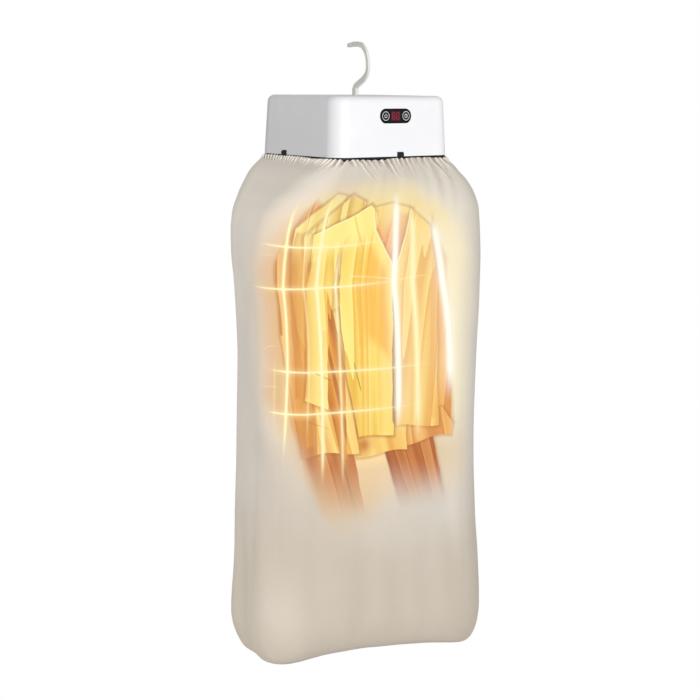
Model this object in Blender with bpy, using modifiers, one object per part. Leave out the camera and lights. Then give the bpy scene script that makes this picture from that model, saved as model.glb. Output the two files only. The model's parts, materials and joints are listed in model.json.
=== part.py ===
"""Portable clothes dryer: a white head unit with a swivel hook, fan and heater,
a garment rail below it and a gathered fabric cover that hangs from its rim.

Metres, +Z up. The origin is the saddle of the hook, where the object hangs.
The front, with the control panel, faces -Y. Every named object is one piece.
"""

import math

import bmesh
import bpy
from mathutils import Matrix, Vector

# ----------------------------------------------------------------- dimensions
GAP = 0.0003  # running gap between touching pieces

# Head unit housing
HEAD_W, HEAD_D, HEAD_H = 0.300, 0.270, 0.119  # at the rim
HEAD_R = 0.036  # vertical corner radius
HEAD_DRAFT = 0.0055  # each side leans in by this much from rim to top
HEAD_WALL = 0.0025
HEAD_TOP_R = 0.014  # rounding of the top edge
Z_TOP = -0.098  # top of the housing below the hook's saddle
Z_RIM = Z_TOP - HEAD_H
LEAN = math.atan2(HEAD_DRAFT, HEAD_H)

# Base tray
TRAY_IN = 0.0015  # tray edge inside the housing's outline
TRAY_T = 0.0040
TRAY_TOP = Z_RIM - GAP
TRAY_BOTTOM = TRAY_TOP - TRAY_T
SKIRT_IN = 0.0065
SKIRT_T = 0.0025
SKIRT_DEPTH = 0.016
OUTLET_W, OUTLET_D = 0.150, 0.110

# Heater and fan
HEATER_H = 0.030
FAN_SIDE, FAN_H, FAN_BORE = 0.140, 0.025, 0.128
HUB_R, BLADE_R, BLADES = 0.021, 0.0605, 7
MOTOR_R = 0.019

# Hanger bracket, rail
LEG_Y = 0.1005
STRAP_W, STRAP_T = 0.036, 0.002
BOLT_Y = 0.112
BOLT_R = 0.0025
RAIL_R, RAIL_WALL = 0.007, 0.0012
RAIL_Z = -0.278
RAIL_HALF = 0.108

# Hook
STEM_R = 0.006
STEM_BOX = (0.0080, 0.0120)  # the stem's flat sided part, above the housing
HOOK_T = 0.0060  # thickness across its plane
PIVOT_R = 0.004  # threaded end of the stem

# Control panel, centred on the front wall
PANEL_W, PANEL_H, PANEL_T = 0.080, 0.0286, 0.0030
PANEL_DROP = 0.0390  # panel centre below the top of the housing
BUTTON_X = 0.0260
BUTTON_R = 0.0098
BUTTON_TRAVEL = 0.0010

# Bag clips
CLIP_W, CLIP_UP = 0.016, 0.0060  # pivot height above the rim
CLIP_FRONT_X = 0.0108
CLIP_SIDE_Y = 0.0410

# Bag: height, half width, half depth, corner radius and sideways drift
BAG_WALL = 0.0016
BAG_TURN = math.radians(-15)  # the hanging cover has turned a little on its neck
BAG_DRIFT = math.radians(-38)  # direction of the drift
BAG_TOP = -0.2218
BAG_ROWS = ((BAG_TOP, 0.1486, 0.1336, 0.0320, 0.0000), (-0.2290, 0.1590, 0.1345, 0.0390, 0.0006),
            (-0.241, 0.1792, 0.1356, 0.0499, 0.0028), (-0.256, 0.1985, 0.1366, 0.0605, 0.0058),
            (-0.271, 0.2155, 0.1375, 0.0696, 0.0085), (-0.298, 0.2409, 0.1386, 0.0838, 0.0078),
            (-0.333, 0.2563, 0.1395, 0.0923, 0.0065), (-0.367, 0.2582, 0.1397, 0.0934, 0.0056),
            (-0.417, 0.2563, 0.1395, 0.0923, 0.0060), (-0.476, 0.2502, 0.1392, 0.0890, 0.0074),
            (-0.555, 0.2461, 0.1389, 0.0867, 0.0092), (-0.634, 0.2435, 0.1388, 0.0852, 0.0097),
            (-0.753, 0.2435, 0.1387, 0.0852, 0.0101), (-0.856, 0.2449, 0.1388, 0.0860, 0.0106),
            (-0.974, 0.2484, 0.1391, 0.0879, 0.0118), (-1.075, 0.2556, 0.1395, 0.0920, 0.0154),
            (-1.135, 0.2611, 0.1398, 0.0950, 0.0157), (-1.158, 0.2622, 0.1400, 0.0960, 0.0160))
BAG_FLOOR = -1.243
BAG_INSET = 0.032  # how far the floor's edge lies inside the walls
BAG_SAG = 0.032  # the ends of the floor hang this much lower than its middle

# ------------------------------------------------------------------ the scene
for old in list(bpy.data.objects):
    bpy.data.objects.remove(old, do_unlink=True)

dryer = bpy.data.collections.new("portable_clothes_dryer")
tools = bpy.data.collections.new("cutters")
bpy.context.scene.collection.children.link(dryer)
bpy.context.scene.collection.children.link(tools)
bpy.context.scene.unit_settings.system = "METRIC"


def material(name, colour, roughness, metallic=0.0):
    mat = bpy.data.materials.new(name)
    mat.use_nodes = True
    shader = mat.node_tree.nodes["Principled BSDF"]
    shader.inputs["Base Color"].default_value = (*colour, 1.0)
    shader.inputs["Roughness"].default_value = roughness
    shader.inputs["Metallic"].default_value = metallic
    mat.diffuse_color = (*colour, 1.0)
    return mat


WHITE = material("housing_white", (0.92, 0.92, 0.94), 0.32)
BLACK = material("tray_black", (0.02, 0.02, 0.022), 0.45)
GLOSS = material("panel_black", (0.012, 0.012, 0.014), 0.12)
CREAM = material("hook_plastic", (0.80, 0.80, 0.76), 0.38)
STEEL = material("steel", (0.62, 0.63, 0.65), 0.30, 1.0)
BRASS = material("brass", (0.78, 0.60, 0.28), 0.30, 1.0)
ALU = material("heater_fins", (0.75, 0.76, 0.78), 0.35, 1.0)
GREY = material("fan_plastic", (0.10, 0.10, 0.11), 0.50)
BOARD = material("circuit_board", (0.03, 0.16, 0.07), 0.45)
AMBER = material("mica", (0.55, 0.45, 0.30), 0.60)
LAMP = material("display", (0.20, 0.01, 0.03), 0.25)
FOAM = material("filter_foam", (0.06, 0.06, 0.065), 0.95)
CLOTH = material("bag_fabric", (0.66, 0.62, 0.55), 0.85)
ELASTIC = material("elastic", (0.03, 0.03, 0.03), 0.90)


# -------------------------------------------------------------------- helpers
def empty(name, location=(0, 0, 0), rotation=(0, 0, 0)):
    e = bpy.data.objects.new(name, None)
    e.empty_display_size = 0.02
    e.location = location
    e.rotation_euler = rotation
    dryer.objects.link(e)
    return e


def finish(name, bm, mat=None, parent=None, location=(0, 0, 0),
           rotation=(0, 0, 0), smooth=False, helper=False):
    """Turns a bmesh into a named object, as a piece or as a hidden helper."""
    mesh = bpy.data.meshes.new(name)
    bm.to_mesh(mesh)
    bm.free()
    obj = bpy.data.objects.new(name, mesh)
    obj.location = location
    obj.rotation_euler = rotation
    obj.parent = parent
    if helper:
        tools.objects.link(obj)
        obj.hide_render = True
        obj.display_type = "WIRE"
    else:
        dryer.objects.link(obj)
        mesh.materials.append(mat)
        if smooth:
            mesh.shade_smooth()
            mesh.set_sharp_from_angle(angle=math.radians(35))
    return obj


def axis_matrix(axis):
    if axis == "X":
        return Matrix.Rotation(math.radians(90), 4, "Y")
    if axis == "Y":
        return Matrix.Rotation(math.radians(-90), 4, "X")
    return Matrix.Identity(4)


def add_box(bm, size, at, turn=None):
    m = Matrix.Translation(at) @ (turn or Matrix.Identity(4)) @ Matrix.Diagonal((*size, 1.0))
    return bmesh.ops.create_cube(bm, size=1.0, matrix=m)["verts"]


def add_cylinder(bm, radius, height, at, axis="Z", sides=20, turn=0.0):
    m = Matrix.Translation(at) @ axis_matrix(axis) @ Matrix.Rotation(turn, 4, "Z")
    return bmesh.ops.create_cone(bm, cap_ends=True, radius1=radius, radius2=radius,
                                 depth=height, segments=sides, matrix=m)["verts"]


def add_slab(bm, w, d, h, r, at, segments=5, turn=None):
    """A box with rounded upright edges."""
    verts = add_box(bm, (w, d, h), (0, 0, 0))
    edges = {e for v in verts for e in v.link_edges
             if abs(e.verts[0].co.z - e.verts[1].co.z) > h * 0.5}
    out = bmesh.ops.bevel(bm, geom=list(edges), offset=r, segments=segments,
                          profile=0.5, affect="EDGES")
    moved = {v for f in out["faces"] for v in f.verts} | {v for v in verts if v.is_valid}
    bmesh.ops.transform(bm, verts=list(moved),
                        matrix=Matrix.Translation(at) @ (turn or Matrix.Identity(4)))
    return list(moved)


def boolean(obj, other, operation="DIFFERENCE"):
    mod = obj.modifiers.new(f"{operation.lower()}_{other.name}", "BOOLEAN")
    mod.operation = operation
    mod.solver = "EXACT"
    mod.object = other


def block(name, size, at, mat, parent=None, bevel=0.0, rotation=(0, 0, 0)):
    bm = bmesh.new()
    add_box(bm, size, (0, 0, 0))
    obj = finish(name, bm, mat, parent, at, rotation)
    if bevel:
        mod = obj.modifiers.new("edges", "BEVEL")
        mod.width = bevel
        mod.segments = 2
    return obj


def turned(name, profile, mat, at=(0, 0, 0), rotation=(0, 0, 0), steps=20, parent=None):
    """A turned piece. The profile (radius, height) runs top to bottom at +X."""
    bm = bmesh.new()
    verts = [bm.verts.new((r, 0.0, z)) for r, z in profile]
    for a, b in zip(verts, verts[1:]):
        bm.edges.new((a, b))
    obj = finish(name, bm, mat, parent, at, rotation)
    mod = obj.modifiers.new("turn", "SCREW")
    mod.axis = "Z"
    mod.angle = math.radians(360)
    mod.steps = steps
    mod.render_steps = steps
    mod.use_merge_vertices = True
    mod.merge_threshold = 0.00005
    mod.use_normal_calculate = False
    return obj


def tube_ring(name, outer, inner, height, mat, at, rotation=(0, 0, 0), steps=20, parent=None):
    h = height / 2
    return turned(name, [(inner, h), (outer, h), (outer, -h), (inner, -h), (inner, h)],
                  mat, at, rotation, steps, parent)


def wire(name, points, radius, mat, parent=None):
    """A lead along a smooth curve through the given points."""
    pts = [Vector(p) for p in points]
    path = []
    for i in range(len(pts) - 1):
        a, b = pts[max(i - 1, 0)], pts[i]
        c, d = pts[i + 1], pts[min(i + 2, len(pts) - 1)]
        for k in range(4):
            t = k / 4
            path.append(0.5 * ((2 * b) + (c - a) * t + (2 * a - 5 * b + 4 * c - d) * t * t
                               + (3 * b - a - 3 * c + d) * t ** 3))
    path.append(pts[-1])
    curve = bpy.data.curves.new(name, "CURVE")
    curve.dimensions = "3D"
    spline = curve.splines.new("POLY")
    spline.points.add(len(path) - 1)
    for p, co in zip(spline.points, path):
        p.co = (*co, 1.0)
    curve.bevel_depth = radius
    curve.bevel_resolution = 1
    curve.use_fill_caps = True
    curve.materials.append(mat)
    obj = bpy.data.objects.new(name, curve)
    obj.parent = parent
    dryer.objects.link(obj)
    return obj


# ================================================================== HEAD UNIT
head = empty("head_unit")

# Upper housing: an open box with a draft, rounded corners and a rounded top.
bm = bmesh.new()
verts = add_box(bm, (HEAD_W, HEAD_D, HEAD_H), (0, 0, Z_RIM + HEAD_H / 2))
upright = {e for v in verts for e in v.link_edges
           if abs(e.verts[0].co.z - e.verts[1].co.z) > HEAD_H / 2}
bmesh.ops.bevel(bm, geom=list(upright), offset=HEAD_R, segments=6, profile=0.5, affect="EDGES")
for v in bm.verts:
    rise = (v.co.z - Z_RIM) / HEAD_H
    v.co.x *= 1 - rise * HEAD_DRAFT / (HEAD_W / 2)
    v.co.y *= 1 - rise * HEAD_DRAFT / (HEAD_D / 2)
top_face = max(bm.faces, key=lambda f: f.calc_center_median().z)
bmesh.ops.bevel(bm, geom=list(top_face.edges), offset=HEAD_TOP_R, segments=4,
                profile=0.5, affect="EDGES")
floor_face = min(bm.faces, key=lambda f: f.calc_center_median().z)
bmesh.ops.delete(bm, geom=[floor_face], context="FACES_ONLY")
housing = finish("upper_housing", bm, WHITE, head, smooth=True)
wall = housing.modifiers.new("wall", "SOLIDIFY")
wall.thickness = HEAD_WALL
wall.offset = -1
wall.use_even_offset = True

# Screw posts and clip seats moulded inside the housing.
POST_X, POST_Y = 0.118, 0.104
CLIPS = {  # name: (pivot, turn about Z)
    "front": ((CLIP_FRONT_X, -HEAD_D / 2 + 0.002, Z_RIM + CLIP_UP), 0.0),
    "left": ((-HEAD_W / 2 + 0.002, CLIP_SIDE_Y, Z_RIM + CLIP_UP), -90.0),
    "rear": ((-CLIP_FRONT_X, HEAD_D / 2 - 0.002, Z_RIM + CLIP_UP), 180.0),
    "right": ((HEAD_W / 2 - 0.002, -CLIP_SIDE_Y, Z_RIM + CLIP_UP), 90.0),
}


def clip_matrix(key):
    at, turn = CLIPS[key]
    return Matrix.Translation(at) @ Matrix.Rotation(math.radians(turn), 4, "Z")


bm = bmesh.new()
for sx in (-1, 1):
    for sy in (-1, 1):
        add_cylinder(bm, 0.0042, HEAD_H - 0.0015, (sx * POST_X, sy * POST_Y, Z_RIM + (HEAD_H - 0.0015) / 2),
                     sides=10)
posts = finish("housing_posts", bm, helper=True)
boolean(housing, posts, "UNION")

bm = bmesh.new()
for key in CLIPS:
    start = len(bm.verts)
    verts = add_box(bm, (0.0270, 0.0080, 0.0122), (0, 0.0030, 0.0004))
    bmesh.ops.transform(bm, verts=verts, matrix=clip_matrix(key))
seats = finish("clip_seats", bm, helper=True)
boolean(housing, seats, "UNION")

# Local frame of the control panel, on the outer face of the leaning front wall.
panel_z = Z_TOP - PANEL_DROP
panel_y = -HEAD_D / 2 + HEAD_DRAFT * (panel_z - Z_RIM) / HEAD_H
panel = empty("control_panel", (0, panel_y, panel_z), (-LEAN, 0, 0))
PANEL_M = Matrix.Translation((0, panel_y, panel_z)) @ Matrix.Rotation(-LEAN, 4, "X")

bm = bmesh.new()
for sx in (-1, 1):
    verts = add_cylinder(bm, 0.0034, 0.0071, (sx * 0.0480, 0.0044, 0), axis="Y", sides=10)
    bmesh.ops.transform(bm, verts=verts, matrix=PANEL_M)
board_posts = finish("board_posts", bm, helper=True)
boolean(housing, board_posts, "UNION")

# Openings of the housing, all cut at once.
bm = bmesh.new()
add_cylinder(bm, 0.0080, 0.02, (0, 0, Z_TOP), sides=24)
verts = add_slab(bm, PANEL_W + 2 * GAP, PANEL_H + 2 * GAP, 0.02, PANEL_H / 2 + GAP - 0.00002,
                 (0, 0, 0), segments=8, turn=Matrix.Rotation(math.radians(90), 4, "X"))
bmesh.ops.transform(bm, verts=verts, matrix=PANEL_M)
INTAKE_Z = -0.150
add_box(bm, (0.150, 0.030, 0.046), (-0.020, HEAD_D / 2, INTAKE_Z))
INLET_X, INLET_Z = 0.092, -0.190
add_box(bm, (0.0270, 0.030, 0.0160), (INLET_X, HEAD_D / 2, INLET_Z))
for key in CLIPS:
    verts = add_box(bm, (CLIP_W + 0.0008, 0.0180, 0.0150), (0, 0.0010, -0.0045))
    bmesh.ops.transform(bm, verts=verts, matrix=clip_matrix(key))
for sx in (-1, 1):
    for sy in (-1, 1):
        add_cylinder(bm, 0.0018, 0.024, (sx * POST_X, sy * POST_Y, Z_RIM + 0.010), sides=10)
    verts = add_cylinder(bm, 0.0013, 0.010, (sx * 0.0480, 0.0079, 0), axis="Y", sides=8)
    bmesh.ops.transform(bm, verts=verts, matrix=PANEL_M)
openings = finish("housing_openings", bm, helper=True)
boolean(housing, openings)
bm = bmesh.new()
for key in CLIPS:
    verts = add_cylinder(bm, 0.0011, 0.0236, (0, 0, 0), axis="X", sides=10)
    bmesh.ops.transform(bm, verts=verts, matrix=clip_matrix(key))
pin_bores = finish("clip_pin_bores", bm, helper=True)
boolean(housing, pin_bores)

# Base tray: plate, skirt for the bag's hem, hot air outlet and screw holes.
bm = bmesh.new()
add_slab(bm, HEAD_W - 2 * TRAY_IN, HEAD_D - 2 * TRAY_IN, TRAY_T, HEAD_R - TRAY_IN,
         (0, 0, TRAY_TOP - TRAY_T / 2), segments=6)
tray = finish("base_tray", bm, BLACK, head)
bm = bmesh.new()
add_slab(bm, HEAD_W - 2 * SKIRT_IN, HEAD_D - 2 * SKIRT_IN, SKIRT_DEPTH + 0.001,
         HEAD_R - SKIRT_IN, (0, 0, TRAY_BOTTOM - (SKIRT_DEPTH - 0.001) / 2), segments=5)
skirt = finish("tray_skirt", bm, helper=True)
boolean(tray, skirt, "UNION")
BOARD_X, BOARD_Y = 0.1135, -0.020
bm = bmesh.new()
for sy in (-1, 1):
    add_cylinder(bm, 0.0030, 0.0070, (BOARD_X, BOARD_Y + sy * 0.048, TRAY_TOP + 0.0020), sides=8)
tray_posts = finish("tray_posts", bm, helper=True)
boolean(tray, tray_posts, "UNION")
bm = bmesh.new()
inset = SKIRT_IN + SKIRT_T
add_slab(bm, HEAD_W - 2 * inset, HEAD_D - 2 * inset, SKIRT_DEPTH + 0.004, HEAD_R - inset,
         (0, 0, TRAY_BOTTOM - (SKIRT_DEPTH + 0.004) / 2), segments=5)
hollow = finish("tray_hollow", bm, helper=True)
boolean(tray, hollow)
bm = bmesh.new()
add_box(bm, (OUTLET_W, OUTLET_D, 0.030), (0, 0, TRAY_TOP - TRAY_T / 2))
for sx in (-1, 1):
    for sy in (-1, 1):
        add_cylinder(bm, 0.0018, 0.030, (sx * POST_X, sy * POST_Y, TRAY_TOP), sides=10)
for sy in (-1, 1):
    add_cylinder(bm, BOLT_R + GAP, 0.030, (0, sy * BOLT_Y, TRAY_TOP), sides=12)
for key in CLIPS:
    verts = add_box(bm, (CLIP_W + 0.0008, 0.0080, 0.0200), (0, -0.0016, -0.0035))
    bmesh.ops.transform(bm, verts=verts, matrix=clip_matrix(key))
tray_holes = finish("tray_holes", bm, helper=True)
boolean(tray, tray_holes)

# Hot air outlet grille, a plate with slots, set in the tray.
bm = bmesh.new()
add_box(bm, (OUTLET_W - 2 * GAP, OUTLET_D - 2 * GAP, TRAY_T), (0, 0, TRAY_TOP - TRAY_T / 2))
grille = finish("outlet_grille", bm, BLACK, head)
bm = bmesh.new()
for i in range(11):
    add_box(bm, (0.0080, 0.094, 0.02), ((i - 5) * 0.0125, 0, TRAY_TOP))
slots = finish("outlet_slots", bm, helper=True)
boolean(grille, slots)

# Heater: a frame on the tray with the finned core inside it.
bm = bmesh.new()
add_box(bm, (0.162, 0.122, HEATER_H), (0, 0, Z_RIM + HEATER_H / 2))
heater_frame = finish("heater_frame", bm, AMBER, head)
bm = bmesh.new()
add_box(bm, (0.150, 0.110, 0.06), (0, 0, Z_RIM + HEATER_H / 2))
frame_hole = finish("heater_frame_hole", bm, helper=True)
boolean(heater_frame, frame_hole)
bm = bmesh.new()
add_box(bm, (0.1494, 0.1094, 0.020), (0, 0, Z_RIM + HEATER_H / 2))
heater_core = finish("heater_core", bm, ALU, head)
bm = bmesh.new()
for i in range(12):
    add_box(bm, (0.0080, 0.098, 0.04), ((i - 5.5) * 0.0120, 0, Z_RIM + HEATER_H / 2))
fins = finish("heater_air_gaps", bm, helper=True)
boolean(heater_core, fins)
turned("thermal_cutout", [(0, 0.004), (0.007, 0.004), (0.007, -0.002), (0.004, -0.002),
                          (0.004, -0.005), (0, -0.005)], STEEL,
       (-0.081 - GAP - 0.005, 0.020, Z_RIM + 0.016), (0, math.radians(-90), 0), 12, head)

# Fan: frame with a motor seat on struts, motor, and the turning rotor.
FAN_BOTTOM = Z_RIM + HEATER_H + GAP
FAN_MID = FAN_BOTTOM + FAN_H / 2
bm = bmesh.new()
add_box(bm, (FAN_SIDE, FAN_SIDE, FAN_H), (0, 0, FAN_MID))
fan_frame = finish("fan_frame", bm, GREY, head)
bm = bmesh.new()
add_cylinder(bm, FAN_BORE / 2, 0.06, (0, 0, FAN_MID), sides=32)
bore = finish("fan_bore", bm, helper=True)
boolean(fan_frame, bore)
bm = bmesh.new()
add_box(bm, (FAN_SIDE - 0.004, 0.006, 0.003), (0, 0, FAN_BOTTOM + 0.0015))
strut_x = finish("fan_strut_x", bm, helper=True)
boolean(fan_frame, strut_x, "UNION")
bm = bmesh.new()
add_box(bm, (0.006, FAN_SIDE - 0.004, 0.003), (0, 0, FAN_BOTTOM + 0.0015))
strut_y = finish("fan_strut_y", bm, helper=True)
boolean(fan_frame, strut_y, "UNION")
bm = bmesh.new()
add_cylinder(bm, HUB_R, 0.0036, (0, 0, FAN_BOTTOM + 0.0018), sides=20)
seat = finish("fan_motor_seat", bm, helper=True)
boolean(fan_frame, seat, "UNION")
MOTOR_Z = FAN_BOTTOM + 0.0036 + GAP
tube_ring("fan_motor", MOTOR_R, 0.0024, 0.0060, STEEL, (0, 0, MOTOR_Z + 0.0030), steps=20, parent=head)

fan = empty("fan_axis", (0, 0, FAN_MID))
HUB_Z = 0.0045  # hub centre above the fan's middle
bm = bmesh.new()
add_cylinder(bm, HUB_R, 0.0130, (0, 0, HUB_Z), sides=21)
rotor = finish("fan_rotor", bm, GREY, fan)
for i in range(BLADES):
    angle = 2 * math.pi * i / BLADES
    bm = bmesh.new()
    m = (Matrix.Rotation(angle, 4, "Z") @ Matrix.Translation(((HUB_R + BLADE_R) / 2 - 0.001, 0, HUB_Z))
         @ Matrix.Rotation(math.radians(32), 4, "X"))
    verts = add_box(bm, (BLADE_R - HUB_R + 0.002, 0.020, 0.0016), (0, 0, 0))
    bmesh.ops.transform(bm, verts=verts, matrix=m)
    blade = finish(f"fan_blade_{i}", bm, helper=True, parent=fan)
    boolean(rotor, blade, "UNION")
bm = bmesh.new()
add_cylinder(bm, 0.0020 + GAP, 0.03, (0, 0, HUB_Z), sides=12)
shaft_hole = finish("rotor_bore", bm, helper=True, parent=fan)
boolean(rotor, shaft_hole)
bm = bmesh.new()
add_cylinder(bm, 0.0020, 0.0190, (0, 0, 0.0015), sides=12)
finish("fan_shaft", bm, STEEL, fan)

# Rear air intake: slotted grille and foam filter.
in_y = HEAD_D / 2 - HEAD_DRAFT * (INTAKE_Z - Z_RIM) / HEAD_H
bm = bmesh.new()
add_box(bm, (0.150 - 2 * GAP, 0.0040, 0.046 - 2 * GAP), (0, 0, 0))
intake = finish("intake_grille", bm, WHITE, head, (-0.020, in_y - 0.0012, INTAKE_Z), (LEAN, 0, 0))
bm = bmesh.new()
for i in range(12):
    add_box(bm, (0.0065, 0.02, 0.034), ((i - 5.5) * 0.0118, 0, 0))
intake_slots = finish("intake_slots", bm, helper=True, location=(-0.020, in_y - 0.0012, INTAKE_Z))
intake_slots.rotation_euler = (LEAN, 0, 0)
boolean(intake, intake_slots)
block("intake_filter", (0.158, 0.0040, 0.0540), (-0.020, in_y - 0.0012 - 0.0020 - 0.0022 - GAP * 2, INTAKE_Z - 0.0002),
      FOAM, head, rotation=(LEAN, 0, 0))

# Steel hanger bracket that takes the load from the hook to the rail.
STRAP_TOP = Z_TOP - 0.0112
bm = bmesh.new()
add_box(bm, (STRAP_W, 2 * LEG_Y, STRAP_T), (0, 0, STRAP_TOP - STRAP_T / 2))
bracket = finish("hanger_bracket", bm, STEEL, head)
leg_bottom = Z_RIM + 0.0001
for tag, sy in (("front", -1), ("rear", 1)):
    bm = bmesh.new()
    add_box(bm, (STRAP_W, STRAP_T, STRAP_TOP - leg_bottom),
            (0, sy * (LEG_Y - STRAP_T / 2), (STRAP_TOP + leg_bottom) / 2))
    leg = finish(f"bracket_leg_{tag}", bm, helper=True)
    boolean(bracket, leg, "UNION")
    bm = bmesh.new()
    add_box(bm, (STRAP_W, 0.0235, STRAP_T),
            (0, sy * (LEG_Y - STRAP_T + 0.0235 / 2), leg_bottom + STRAP_T / 2))
    foot = finish(f"bracket_foot_{tag}", bm, helper=True)
    boolean(bracket, foot, "UNION")
bm = bmesh.new()
add_cylinder(bm, PIVOT_R + GAP, 0.02, (0, 0, STRAP_TOP), sides=16)
for sy in (-1, 1):
    add_cylinder(bm, BOLT_R + GAP, 0.01, (0, sy * BOLT_Y, leg_bottom), sides=12)
bracket_holes = finish("bracket_holes", bm, helper=True)
boolean(bracket, bracket_holes)

# Bush that guides the hook's stem through the top of the housing.
turned("hook_bush", [(0.0063, 0.0), (0.0077, 0.0), (0.0077, -0.0030), (0.0110, -0.0030),
                     (0.0110, -0.0055), (0.0063, -0.0055), (0.0063, 0.0)], CREAM,
       (0, 0, Z_TOP), steps=20, parent=head)

# Garment rail on two drop brackets, bolted up through the tray.
DROP_TOP = TRAY_BOTTOM - GAP
DROP_LOW = RAIL_Z - 0.012
for tag, sy in (("front", -1), ("rear", 1)):
    bm = bmesh.new()
    add_box(bm, (0.024, 0.020, 0.0025), (0, sy * 0.1075, DROP_TOP - 0.00125))
    drop = finish(f"rail_bracket_{tag}", bm, STEEL, head)
    bm = bmesh.new()
    add_box(bm, (0.024, 0.0025, DROP_TOP - DROP_LOW), (0, sy * 0.0988, (DROP_TOP + DROP_LOW) / 2))
    plate = finish(f"drop_plate_{tag}", bm, helper=True)
    boolean(drop, plate, "UNION")
    bm = bmesh.new()
    add_cylinder(bm, RAIL_R + GAP, 0.008, (0, sy * 0.0988, RAIL_Z), axis="Y", sides=20)
    add_cylinder(bm, BOLT_R + GAP, 0.010, (0, sy * BOLT_Y, DROP_TOP), sides=12)
    holes = finish(f"drop_holes_{tag}", bm, helper=True)
    boolean(drop, holes)
    # M5 bolt, head on the bracket's foot, nut under the rail bracket
    foot_top = leg_bottom + STRAP_T + GAP
    turned(f"bracket_bolt_{tag}", [(0, 0.0035), (0.0045, 0.0035), (0.0045, 0.0), (BOLT_R, 0.0),
                                   (BOLT_R, -0.0175), (0, -0.0175)], STEEL,
           (0, sy * BOLT_Y, foot_top), steps=10, parent=head)
    bm = bmesh.new()
    add_cylinder(bm, 0.0046, 0.0040, (0, sy * BOLT_Y, DROP_TOP - 0.0025 - GAP - 0.0020), sides=6)
    nut = finish(f"bracket_nut_{tag}", bm, STEEL, head)
    bm = bmesh.new()
    add_cylinder(bm, BOLT_R + GAP, 0.02, (0, sy * BOLT_Y, DROP_TOP), sides=12)
    nut_hole = finish(f"nut_hole_{tag}", bm, helper=True)
    boolean(nut, nut_hole)
    turned(f"rail_cap_{tag}", [(0, 0.0055), (0.0088, 0.0055), (0.0088, -0.0030), (RAIL_R + GAP, -0.0030),
                               (RAIL_R + GAP, 0.0035), (0, 0.0035)], BLACK,
           (0, sy * (RAIL_HALF - 0.0035 + GAP), RAIL_Z), (math.radians(-90 * sy), 0, 0), 16, head)
tube_ring("garment_rail", RAIL_R, RAIL_R - RAIL_WALL, 2 * RAIL_HALF, STEEL, (0, 0, RAIL_Z),
          (math.radians(90), 0, 0), 20, head)

# Four screws up through the tray into the housing's posts.
number = 0
for sy in (-1, 1):
    for sx in (-1, 1):
        number += 1
        turned(f"tray_screw_{number}", [(0, 0.0150), (0.0015, 0.0150), (0.0015, 0.0), (0.0032, 0.0),
                                        (0.0032, -0.0020), (0, -0.0020)], STEEL,
               (sx * POST_X, sy * POST_Y, TRAY_BOTTOM - GAP), steps=8, parent=head)

# ------------------------------------------------------------ control panel
bm = bmesh.new()
add_slab(bm, PANEL_W, PANEL_H, PANEL_T, PANEL_H / 2 - 0.00002, (0, 0.0009, 0), segments=8,
         turn=Matrix.Rotation(math.radians(90), 4, "X"))
fascia = finish("panel_fascia", bm, GLOSS, panel)
bm = bmesh.new()
for sx in (-1, 1):
    add_cylinder(bm, BUTTON_R + GAP, 0.02, (sx * BUTTON_X, 0, 0), axis="Y", sides=24)
add_box(bm, (0.0240, 0.02, 0.0190), (0, 0, 0))
panel_holes = finish("panel_holes", bm, helper=True, parent=panel)
boolean(fascia, panel_holes)
block("display_module", (0.0234, 0.0082, 0.0184), (0, 0.0039, 0), LAMP, panel)
bm = bmesh.new()
add_box(bm, (0.104, 0.0016, 0.0340), (0, 0.0091, 0))
board = finish("control_board", bm, BOARD, panel)
bm = bmesh.new()
for sx in (-1, 1):
    add_cylinder(bm, 0.0016, 0.01, (sx * 0.0480, 0.0091, 0), axis="Y", sides=8)
board_holes = finish("board_holes", bm, helper=True, parent=panel)
boolean(board, board_holes)
for tag, sx in (("left", -1), ("right", 1)):
    turned(f"board_screw_{tag}", [(0, 0.0018), (0.0026, 0.0018), (0.0026, 0.0), (0.0010, 0.0),
                                  (0.0010, -0.0065), (0, -0.0065)], STEEL,
           (sx * 0.0480, 0.0102, 0), (math.radians(-90), 0, 0), 8, panel)
for tag, sx in (("power", -1), ("timer", 1)):
    block(f"{tag}_switch", (0.0060, 0.0026, 0.0060), (sx * BUTTON_X, 0.0067, 0), GREY, panel)
    turned(f"{tag}_button", [(0, 0.0010), (BUTTON_R - 0.0008, 0.0010), (BUTTON_R, 0.0002),
                             (BUTTON_R, -0.0028), (0.0106, -0.0028), (0.0106, -0.0038), (0, -0.0038)],
           GLOSS, (sx * BUTTON_X, 0, 0), (math.radians(90), 0, 0), 24, panel)

# --------------------------------------------------------------- electronics
bm = bmesh.new()
add_box(bm, (0.0440, 0.1100, 0.0016), (BOARD_X, BOARD_Y, TRAY_TOP + 0.0055 + GAP + 0.0008))
finish("power_board", bm, BOARD, head)
ON_BOARD = TRAY_TOP + 0.0055 + GAP + 0.0016 + GAP
block("power_relay", (0.0150, 0.0190, 0.0150), (BOARD_X - 0.008, BOARD_Y - 0.030, ON_BOARD + 0.0075),
      AMBER, head, 0.0006)
block("power_transformer", (0.0240, 0.0280, 0.0200), (BOARD_X + 0.004, BOARD_Y + 0.006, ON_BOARD + 0.0100),
      GREY, head, 0.0010)
bm = bmesh.new()
inlet_y = HEAD_D / 2 - HEAD_DRAFT * (INLET_Z - Z_RIM) / HEAD_H + 0.0010
add_box(bm, (0.0270 - 2 * GAP, 0.0200, 0.0160 - 2 * GAP), (INLET_X, inlet_y - 0.0100, INLET_Z))
inlet = finish("power_inlet", bm, BLACK, head)
bm = bmesh.new()
add_slab(bm, 0.0170, 0.0094, 0.0260, 0.0046, (INLET_X, inlet_y, INLET_Z), segments=4,
         turn=Matrix.Rotation(math.radians(90), 4, "X"))
inlet_hole = finish("inlet_cavity", bm, helper=True)
boolean(inlet, inlet_hole)
bm = bmesh.new()
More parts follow.
